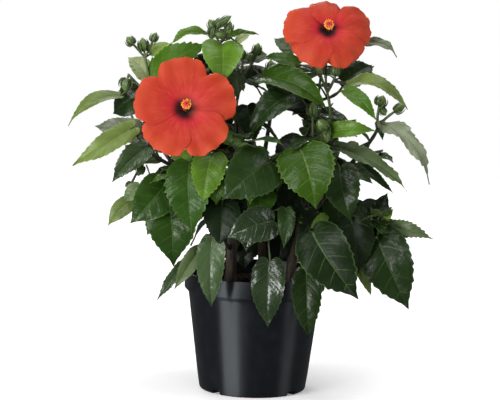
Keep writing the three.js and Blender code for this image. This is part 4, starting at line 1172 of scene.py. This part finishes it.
pollen_finish = matt_skin("anther", 2500, 0.15, paint(206, 92, 26), paint(244, 170, 58), 0.8, 0.15)
velvet_finish = matt_skin("stigma", 2500, 0.15, paint(150, 16, 22), paint(206, 40, 36), 0.75, 0.12)
heart_finishes = [column_finish, filament_finish, pollen_finish, velvet_finish]
for bloom_name, petals, heart in bloom_pieces:
    petal_piece = petals.make(bloom_name + "_petals", [petal_finish], 60)
    heart_piece = heart.make(bloom_name + "_column", heart_finishes)
    for piece in (petal_piece, heart_piece):
        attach(piece, "root")
        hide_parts(bloom_name)


# ------------------------------------------------------------ leaves
# Each leaf is a thin ovate blade with a toothed margin, a rounded base and a drawn-out tip, folded
# up a little along its midrib and quilted between its veins, on a slender stalk from its shoot.

MARGIN = [                             # half the outline from stalk to tip: shares of length, width
    (0.0, 0.05), (-0.045, 0.24), (-0.05, 0.50), (0.02, 0.78), (0.13, 0.95), (0.27, 1.0),
    (0.42, 0.965), (0.56, 0.85), (0.69, 0.66), (0.80, 0.42), (0.885, 0.21), (0.95, 0.08),
    (1.0, 0.012)]
MARGIN_BREADTH = 0.27                  # half the breadth as a share of the length, for even steps
VEIN_SWEEP = 0.24                      # how far ahead a vein meets the margin
VEIN_PAIRS = 8
FINE_ROWS, FINE_COLUMNS = 39, (0, 0.07, 0.30, 0.55, 0.80, 1)
PLAIN_ROWS, PLAIN_COLUMNS = 16, (0, 0.12, 0.55, 1)
PLAIN_UNDER = 34                       # shorter and grown leaves have the plainer grid
TOOTH, TOOTH_FROM = 0.017, 0.06        # three rows to a tooth
QUILT, GROOVE, RIB = 0.34, 0.35, 0.5
LEAF_THICKNESS = 0.3
STALK_ROOT, STALK_TIP, STALK_SIDES = 1.05, 0.72, 7
COARSE_FRONT = ((0.12, 0.42, 0.77), (0.80, 1.00, 0.60))       # as the solids have them
COARSE_GROWN = ((0.20, 0.62), (1.00, 0.72))
COARSE_PLAIN_UNDER = 40
LOBE, CUP, COARSE_THICKNESS = 0.09, 0.16, 1.1
SHIFTS = (0, -4, 4, -8, 8, -12, 12, -17, 17, -22, 22)
TRIES, FOOT_CLEAR = 9, 5
TWIG_ROOT, TWIG_TIP, TWIG_LEAVES = 1.5, 1.0, 4
FINER_TWIGS, FINER_ROOT, FINER_TIP, FINER_LEAVES, FINER_SIZE = 9, 1.0, 0.7, 3, 0.62
DENSE = ("leaves_centre", "leaves_centre_right", "leaves_left_low", "leaves_right_low",
         "leaves_left_back", "leaves_back_left", "leaves_back_right", "leaves_back_low",
         "leaves_back_top", "leaves_right_back")

OPENINGS = [                           # clear gaps seen from the front: x, height and radius
    (-79, 177, 6), (-64, 160, 4), (-53, 137, 6), (-42, 140, 3.5), (-31, 124, 6), (42, 123, 9),
    (25, 250, 15), (4, 238, 7), (0, 277, 8), (-17, 256, 4), (78, 219, 7), (92, 236, 5),
    (84, 270, 9), (104, 272, 14), (138, 222, 13), (150, 255, 12), (102, 180, 8), (142, 170, 10),
    (-96, 203, 6), (116, 190, 5), (-46, 299, 5),
]
OUTLINE = [                            # the crown's edge seen from the front: x and height
    (-118, 296), (-122, 268), (-120, 252), (-140, 238), (-146, 222), (-128, 206), (-126, 170),
    (-106, 158), (-92, 142), (-78, 130), (-60, 120), (0, 110), (56, 110), (98, 104), (134, 112),
    (146, 150), (124, 172), (106, 172), (112, 196), (128, 208), (122, 224), (134, 246), (112, 262),
    (128, 276), (104, 318), (84, 340), (40, 330), (30, 308), (8, 300), (-10, 308), (-22, 330),
    (-60, 330), (-78, 318), (-100, 308),
]
CLEARED = [                            # grown leaves that would hide these gaps are left off
    (78, 276, 6), (89, 230, 7), (106, 184, 7), (11, 259, 9), (25, 259, 8), (-105, 214, 5),
    (-98, 203, 4), (17, 306, 8), (84, 268, 6), (-121, 188, 5), (118, 210, 8), (73, 288, 7),
    (60, 283, 4), (74, 270, 6), (62, 272, 4), (78, 236, 7), (100, 232, 7), (-135, 208, 7),
    (-128, 200, 5), (-4, 278, 6),
]
UNCOVERED = [(52, 262, 8), (60, 250, 8), (64, 240, 6)]     # and so are those before the buds here
BUD_DEPTH = -18
CROWN_CENTRE, CROWN_REACH = (-4, 12, 215), (172, 132, 165)
SIGHT_SLOPE = 0.19                     # the openings are seen from a little above

# The deepest tone and the dark one are darker partly as painted shade, for leaves inside and at the
# back of the crown; lit is lighter partly as painted light; grey is greyed partly as painted sheen.
TONES = {                              # upper side, its veins, roughness, gloss, veining, crinkle
    "deep": ((16, 28, 10), (32, 46, 24), 0.40, 0.16, 0.4, 0.45),
    "dark": ((27, 45, 15), (60, 82, 42), 0.31, 0.22, 0.5, 0.6),
    "veined": ((19, 36, 10), (70, 94, 48), 0.38, 0.17, 0.65, 0.45),
    "gloss": ((30, 46, 21), (60, 78, 48), 0.26, 0.62, 0.45, 0.65),
    "mid": ((37, 64, 15), (76, 104, 42), 0.30, 0.25, 0.45, 0.6),
    "lit": ((49, 78, 13), (90, 120, 42), 0.31, 0.21, 0.4, 0.6),
    "bright": ((73, 105, 26), (114, 146, 58), 0.34, 0.26, 0.45, 0.55),
    "young": ((116, 140, 56), (150, 170, 90), 0.45, 0.30, 0.4, 0.3),
    "olive": ((86, 102, 46), (130, 146, 82), 0.42, 0.30, 0.4, 0.3),
    "dull": ((70, 86, 50), (104, 118, 80), 0.42, 0.30, 0.4, 0.4),
    "grey": ((48, 66, 36), (92, 106, 78), 0.34, 0.42, 0.45, 0.7),
    "silver": ((104, 112, 88), (130, 138, 114), 0.45, 0.35, 0.4, 0.4),
    "pale": ((138, 150, 102), (166, 176, 132), 0.50, 0.25, 0.4, 0.3),
}
FORMS = {                              # share of the width, fold, droop of the tip, wave, teeth
    "": (1.0, 0.16, 0.15, 1.0, 1.0),
    "narrow": (0.66, 0.34, 0.25, 1.3, 0.7),
    "slim": (0.82, 0.24, 0.20, 1.0, 0.9),
    "thin": (0.48, 0.50, 0.25, 1.3, 0.6),
    "folded": (0.88, 0.50, 0.20, 1.0, 0.8),
    "wavy": (0.70, 0.25, 0.35, 2.6, 1.2),
    "broad": (1.16, 0.12, 0.10, 1.0, 0.7),
    "round": (1.10, 0.16, 0.55, 0.8, 0.5),
    "curled": (1.12, 0.20, 1.30, 1.2, 0.9),
    "toothed": (1.0, 0.16, 0.15, 1.2, 1.7),
}
# Grown leaves are dealt mostly the darker tones, partly as painted shade for the inside of the
# crown.
GROWN_TONES = ("deep", "dark", "dark", "mid", "deep", "dark", "lit")
UNDERSIDE = ((72, 92, 46), (104, 122, 78), 0.55, 0.2, 0.5, 0.4)
REGIONS = {
    "foliage_left": ("leaves_upper_left", "leaves_left_outer", "leaves_left_low",
                     "leaves_left_back"),
    "foliage_top": ("leaves_top_left", "leaves_back_top"),
    "foliage_centre": ("leaves_centre", "leaves_centre_right", "leaves_front_left",
                       "leaves_front_middle", "leaves_front_right"),
    "foliage_right": ("leaves_right_top", "leaves_right_outer", "leaves_right_low",
                      "leaves_right_back"),
    "foliage_back": ("leaves_back_left", "leaves_back_right", "leaves_back_low"),
}
foliage = {region: Joined() for region in REGIONS}
region_of = {node: region for region, nodes in REGIONS.items() for node in nodes}


def leaf_place(leaf):
    """Points of a leaf by share of its length, distance to the left and lift, and its axes."""
    ahead = direction(leaf.heading, leaf.pitch)
    lean = math.radians(leaf.lean)
    face = leaf.towards * math.sin(lean) + Vector((0, 0, math.cos(lean)))
    face = (face - ahead * face.dot(ahead)).normalized()
    left = face.cross(ahead)

    def place(s, side, lift):
        bend = leaf.arch * leaf.length * 4 * max(s, 0) * (1 - s)
        return leaf.root + ahead * leaf.length * s + left * side + face * (lift + bend)

    return place, ahead, face, left


def stalk_foot(leaf, shoots):
    """Where the leaf's stalk leaves its shoot: low enough for the stalk to rise to the blade."""
    def score(p):
        flat = (leaf.root.xy - p.xy).length
        return math.hypot(flat, leaf.root.z - p.z - 0.4 * flat)
    return min((p for shoot in shoots for p in shoot[1:]), key=score)


def coarse_leaf(leaf, foot, extra=0.0, clear=0.0):
    """Stalk and blade as the coarse solid has them, larger by extra and clear of the foot."""
    place, ahead, _, left = leaf_place(leaf)
    rise = leaf.root - foot
    along = rise.normalized()

    def collar(p, d, radius):
        side = (left - d * left.dot(d)).normalized()
        top = d.cross(side)
        return [p + side * radius, p + top * radius, p - top * radius, p - side * radius]

    points = collar(foot + along * min(clear, rise.length * 0.6), along, 1.0 + extra * 0.6)
    points += collar(leaf.root, (along + ahead).normalized(), 0.8 + extra * 0.6)
    plain = leaf.length < COARSE_PLAIN_UNDER or leaf.grown
    stations, across = COARSE_GROWN if plain else COARSE_FRONT
    for s, share in zip(stations, across):
        half = share * leaf.width / 2 + extra
        edge = s - LOBE * 3 * (1 - s) ** 4
        thick = COARSE_THICKNESS / 2 + extra
        points += [place(edge, half, CUP * half), place(s, 0, thick), place(s, 0, -thick),
                   place(edge, -half, CUP * half)]
    points.append(place(1, 0, 0))
    return points, blade_faces(len(stations) + 2)


def margin_rows(rows):
    """The margin's points at even steps from stalk to tip, with the teeth of its outer part."""
    line = smooth_line([(a, b * MARGIN_BREADTH, 0) for a, b in MARGIN], 0.01)
    lengths = [0.0]
    for p, q in zip(line, line[1:]):
        lengths.append(lengths[-1] + (q - p).length)
    stations, at = [], 0
    for k in range(rows + 1):
        goal = lengths[-1] * k / rows
        while at < len(line) - 2 and lengths[at + 1] < goal:
            at += 1
        share = (goal - lengths[at]) / max(lengths[at + 1] - lengths[at], 1e-9)
        p = line[at].lerp(line[at + 1], min(max(share, 0), 1))
        stations.append((p.x, p.y / MARGIN_BREADTH))
    return stations


MARGINS = {rows: margin_rows(rows) for rows in (FINE_ROWS, PLAIN_ROWS)}


def grow_blade(mesh, leaf, slot, under_slot):
    """The fine blade of one leaf: V-shaped rows along its veins, upper and lower skins."""
    global seed
    kept, seed = seed, 48271 * (leaf_count + 7)
    place = leaf_place(leaf)[0]
    fine = leaf.length >= PLAIN_UNDER and not leaf.grown
    rows, half_columns = (FINE_ROWS, FINE_COLUMNS) if fine else (PLAIN_ROWS, PLAIN_COLUMNS)
    columns = [-c for c in reversed(half_columns[1:])] + list(half_columns)
    broad, fold, droop, ripple, jagged = FORMS[leaf.form]
    cup = fold * (0.75 + 0.5 * random())
    wave = leaf.length * (0.010 + 0.020 * random()) * ripple
    waves = 1.5 + 1.5 * random()
    first = random() * 6
    sweep = (random() - 0.5) * 0.07
    droop *= 0.6 + 0.8 * random()
    twist = (random() - 0.5) * 0.5
    upper, lower, marks = [], [], []
    for k, (a, b) in enumerate(MARGINS[rows]):
        vein = k * VEIN_PAIRS / rows
        start = max(a - VEIN_SWEEP * b, 0.012 * vein)
        size = TOOTH * jagged * (0.5 + random()) * min(b * 2.2, 1)
        tooth = size * (0, 0.6, 1)[k % 3] if a > TOOTH_FROM and k < rows else 0
        for c in columns:
            reach = abs(c)
            s = start + (a + tooth * 0.6 - start) * reach ** 1.15
            out = (b * broad * leaf.width / 2 + tooth * leaf.length) * c
            quilt = -QUILT * math.cos(2 * math.pi * vein)
            quilt *= math.sin(math.pi * min(reach + 0.12, 1))
            quilt *= min(b * 1.5, 1)
            lift = cup * abs(out) * (1.15 - 0.45 * reach ** 2) + twist * (s - 0.3) * out
            phase = 2 * math.pi * waves * vein / VEIN_PAIRS + first + (1.7 if c > 0 else 0)
            lift += wave * reach ** 2 * math.sin(phase)
            lift -= droop * leaf.length * max(0, s - 0.55) ** 2
            bend = sweep * leaf.length * 4 * max(s, 0) * (1 - s)
            groove = GROOVE * max(0, 1 - reach / 0.12) * min(b * 3, 1)
            upper.append(place(s, out + bend, lift + quilt - groove))
            thick = LEAF_THICKNESS * (0.4 if reach == 1 else 1) + (RIB * (1 - s) if c == 0 else 0)
            lower.append(place(s, out + bend, lift + quilt - groove - thick))
            marks.append((vein + 0.02 * first, c))
    points, top, rest = two_skins(upper, lower, rows, len(columns) - 1)
    slots = [slot] * len(top) + [under_slot] * len(rest)
    mesh.add(points, top + rest, slots, marks + marks, random())
    seed = kept


def grow_stalk(leaf, foot):
    """The stalk from the shoot to the underside of the blade."""
    place, _, face, _ = leaf_place(leaf)
    rise = leaf.root - foot
    middle = foot + rise * 0.5 + Vector((0, 0, 0.06 * rise.length)) - face * 0.05 * rise.length
    line = smooth_line([foot, middle, leaf.root - face * 0.5, place(0.10, 0, -0.9)], 3.2)
    shape, faces = tube(line, taper(line, STALK_ROOT, STALK_TIP), STALK_SIDES)
    share = [0.15 + 0.5 * i / (len(line) - 1) for i in range(len(line)) for _ in range(STALK_SIDES)]
    green_wood.add(shape, faces, shade=share)


def inside_outline(x, height):
    """Inside the crown's edge, a line to the right crosses it an odd number of times."""
    inside = False
    for (x1, z1), (x2, z2) in zip(OUTLINE, OUTLINE[1:] + OUTLINE[:1]):
        if (z1 > height) != (z2 > height) and x < (x2 - x1) * (height - z1) / (z2 - z1) + x1:
            inside = not inside
    return inside


def has_room(leaf):
    """A grown leaf keeps inside the crown and clear of its openings."""
    place = leaf_place(leaf)[0]
    for s in (0, 0.25, 0.5, 0.75, 1):
        for side in (-0.8, 0, 0.8):
            p = place(s, side * leaf.width / 2 * math.sin(math.pi * min(s + 0.15, 1)), 0)
            x, height = p.x, p.z + p.y * SIGHT_SLOPE
            reach = sum(((p[k] - CROWN_CENTRE[k]) / CROWN_REACH[k]) ** 2 for k in range(3))
            if reach >= 1 or not inside_outline(x, height):
                return False
            if any(math.hypot(x - ox, height - oz) <= r for ox, oz, r in OPENINGS):
                return False
    return True


def hides_gap(leaf):
    """A grown leaf that would hide a gap, or stand before the buds, keeps only its place."""
    place = leaf_place(leaf)[0]
    for s in (0.1, 0.4, 0.7, 1):
        for side in (-0.7, 0, 0.7):
            p = place(s, side * leaf.width / 2 * (1.1 - s), 0)
            height = p.z + p.y * SIGHT_SLOPE
            kept_clear = CLEARED + (UNCOVERED if p.y < BUD_DEPTH else [])
            if any(math.hypot(p.x - x, height - z) < r for x, z, r in kept_clear):
                return True
    return False


leaf_count = 0


def add_leaf(mass, leaf, shoots, shifts, apart):
    """A leaf that would meet another is moved to the front or back by the shifts, or skipped."""
    global leaf_count
    others = [other for other in standing if other.node != mass.name]
    own = [other for other in standing if other.node == mass.name]
    root = leaf.root
    for shift in shifts:
        leaf.root = root + Vector((0, shift, 0))
        foot = stalk_foot(leaf, shoots)
        if meets(coarse_leaf(leaf, foot, 0.5), others):
            continue
        clear_leaf = coarse_leaf(leaf, foot, 0.3, FOOT_CLEAR)
        if apart and meets(clear_leaf, own, own=True):
            continue
        stand(mass.name, coarse_leaf(leaf, foot), clear_leaf)
        if leaf.grown and hides_gap(leaf):
            return True
        slot = list(TONES).index(leaf.tone)
        grow_blade(foliage[region_of[mass.name]], leaf, slot, len(TONES))
        grow_stalk(leaf, foot)
        leaf_count += 1
        return True
    leaf.root = root
    return False


def grow_leaves(mass, shoot, shoots, count, facing, spread, size=1.0):
    """Leaves set round a shoot by the golden turn, where there is room for them."""
    start = random() * 360
    grown = 0
    for i in range(count * TRIES):
        if grown == count:
            break
        t = 0.2 + 0.8 * ((i % count) + random()) / count
        heading = facing + (((start + i * GOLDEN_TURN) % 360) / 180 - 1) * spread
        pitch = -48 + 58 * t + (random() - 0.5) * 40
        length = (56 + 22 * random()) * (1 if i < count * 4 else 0.75) * size
        out = direction(heading, min(pitch + 45, 60)) * (10 + 14 * random()) * size
        leaf = SimpleNamespace(
            root=shoot[int(t * (len(shoot) - 1))] + out, heading=heading, pitch=pitch,
            length=length, width=length * (0.56 + 0.1 * random()), lean=30,
            towards=direction(heading, 0), arch=0.1, grown=True,
            tone=GROWN_TONES[int(i * 2.7 + 10 * t) % len(GROWN_TONES)], form="")
        if has_room(leaf) and add_leaf(mass, leaf, shoots, (0,), True):
            grown += 1


def grow_twigs(mass):
    """The mass's own twigs, each with its leaves, and then the leaves along its shoots."""
    leaves, twigs, facing, spread = mass.spec["grown"]
    main = mass.shoots[0]
    for k in range(twigs):
        foot = main[int((0.15 + 0.7 * k / twigs) * (len(main) - 1))]
        heading = facing + (((k * GOLDEN_TURN + 40) % 360) / 180 - 1) * spread
        reach = 30 + 14 * random()
        points = [
            foot, foot + direction(heading, 20) * reach * 0.5,
            foot + direction(heading, 38) * reach]
        line = smooth_line(points)
        others = [other for other in standing if other.node != mass.name]
        if meets(tube(line, taper(line, 1.8, 1.3), 3), others):
            continue
        stand(mass.name, tube(line, taper(line, TWIG_ROOT, TWIG_TIP), 3))
        mass.shoots.append(line)
        grow_shoot(points, TWIG_ROOT, TWIG_TIP, 0.5)
        grow_leaves(mass, line, [line], TWIG_LEAVES, heading, 150)
    grow_leaves(mass, main, mass.shoots, leaves, facing, spread)


def grow_finer(mass):
    """Finer twigs inside the crown, each with a few small leaves."""
    for k in range(FINER_TWIGS):
        shoot = mass.shoots[k % len(mass.shoots)]
        foot = shoot[int(random() * (len(shoot) - 1))]
        heading = 360 * random()
        reach = 14 + 12 * random()
        points = [
            foot, foot + direction(heading, 15) * reach * 0.5,
            foot + direction(heading, 35) * reach]
        line = smooth_line(points, 6)
        others = [other for other in standing if other.node != mass.name]
        if meets(tube(line, taper(line, 1.2, 0.9), 3), others):
            continue
        before = leaf_count
        grow_leaves(mass, line, [line], FINER_LEAVES, heading, 150, FINER_SIZE)
        if leaf_count > before:
            grow_shoot(points, FINER_ROOT, FINER_TIP, 0.6)
            stand(mass.name, tube(line, taper(line, FINER_ROOT, FINER_TIP), 3))


def place_leaves(mass, rows, looks):
    """The leaves whose places are known. One that finds none clear of its mass is put in anyway."""
    for row, look in zip(rows, looks.split()):
        x, y, z, heading, pitch, length, width, lean = row[:8]
        tone, _, form = look.partition("-")
        leaf = SimpleNamespace(
            root=Vector((x, y, z)), heading=heading, pitch=pitch, length=length, width=width,
            lean=lean, towards=Vector((0, -1, 0)), arch=row[8] if len(row) > 8 else 0.1,
            grown=False, tone=tone, form=form)
        if not add_leaf(mass, leaf, mass.shoots, SHIFTS, True):
            add_leaf(mass, leaf, mass.shoots, SHIFTS, False)


for mass in masses:
    place_leaves(mass, mass.spec.get("leaf", []), mass.spec.get("looks", ""))
seed = SEED
for mass in masses:
    grow_twigs(mass)
for mass in masses:
    place_leaves(mass, mass.spec.get("inner", []), mass.spec.get("inner_looks", ""))
for mass in masses:
    if mass.name in DENSE:
        grow_finer(mass)


def leaf_finish(name, upper, veins, roughness, gloss, vein_share, crinkled):
    """A leaf's skin: paler veins that follow the blade, soft mottling and a leathery grain."""
    skin = Finish(name)
    marks = grown_marks(skin)
    vein_phase = part(skin, marks, 0)
    across = part(skin, marks, 1).size()
    side_vein = 1 - ((vein_phase + 0.5).fraction() - 0.5).size().between(0.01, 0.045)
    midrib = 1 - across.between(0.01, 0.045)
    vein = (side_vein * (1 - across.between(0.4, 1.0)) * 0.7).larger(midrib)
    mottle = skin.grain(skin.place, 55, 3.0)
    crinkle = skin.grain(skin.place, 150, 2.0)
    puff = (vein_phase.fraction() - 0.5).size() * (1 - across.between(0.75, 1.0))
    lightness = (mottle - 0.5) * 1.3 + dealt_shade(skin) * 0.75
    tone = skin.mix(lightness.between(0.0, 0.9), paint(*upper, 0.72), paint(*upper, 1.36))
    tone = skin.mix(vein * vein_share, tone, paint(*veins))
    tone = skin.mix(across.between(0.92, 1.0) * 0.5, tone, paint(*veins))
    relief = crinkle * 1.2 + mottle * 1.4 - puff * 1.3 - vein * 0.15
    return skin.surface(
        tone, mottle * 0.16 + (roughness - 0.08), relief, crinkled, Specular_IOR_Level=gloss)


leaf_skins = [leaf_finish("leaf_" + name, *look) for name, look in TONES.items()]
leaf_skins.append(leaf_finish("leaf_underside", *UNDERSIDE))
for region, mesh in foliage.items():
    piece = mesh.make(region, leaf_skins, 62)
    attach(piece, "root")
    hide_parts(*REGIONS[region])


# ------------------------------------------------------------ green wood, buds and calyces
# The shoots and twigs, with every leaf and flower stalk that has grown on them, are one piece of
# soft wood, brown at the foot and green at the tip. All sepals and bracts are another, of leathery
# green skin with a dull bloom.

GREEN_GRAIN = (500, 500, 160)
SEPAL_GRAIN = 420

twig_skin = Finish("shoot")
twig_grain = twig_skin.grain(drawn_out(twig_skin, twig_skin.place, GREEN_GRAIN), 1.0, 4.0)
twig_age = (dealt_shade(twig_skin) + (twig_grain - 0.5) * 0.4).between(0.1, 0.9)
twig_tone = twig_skin.mix(twig_age, paint(36, 31, 25), paint(72, 88, 44))
twig_finish = twig_skin.surface(twig_tone, 0.5, twig_grain, 0.2)
shoots = green_wood.make("shoots_and_leaf_stalks", [twig_finish], 60)

bud_skin = Finish("sepal")
bud_grain = bud_skin.grain(bud_skin.place, SEPAL_GRAIN, 3.0)
bud_age = (dealt_shade(bud_skin) + (bud_grain - 0.5) * 0.5).between(0.1, 1.0)
bud_tone = bud_skin.mix(bud_age, paint(44, 64, 28), paint(92, 116, 52))
bud_finish = bud_skin.surface(bud_tone, 0.45, bud_grain, 0.15)
bract_finish = matt_skin(
    "bract", SEPAL_GRAIN, 0.2, paint(44, 52, 28), paint(78, 96, 46), 0.5, 0.1)
bud_piece = buds.make("buds_and_calyces", [bud_finish, bract_finish])
for piece in (shoots, bud_piece):
    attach(piece, "root")
    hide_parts(*MASSES)
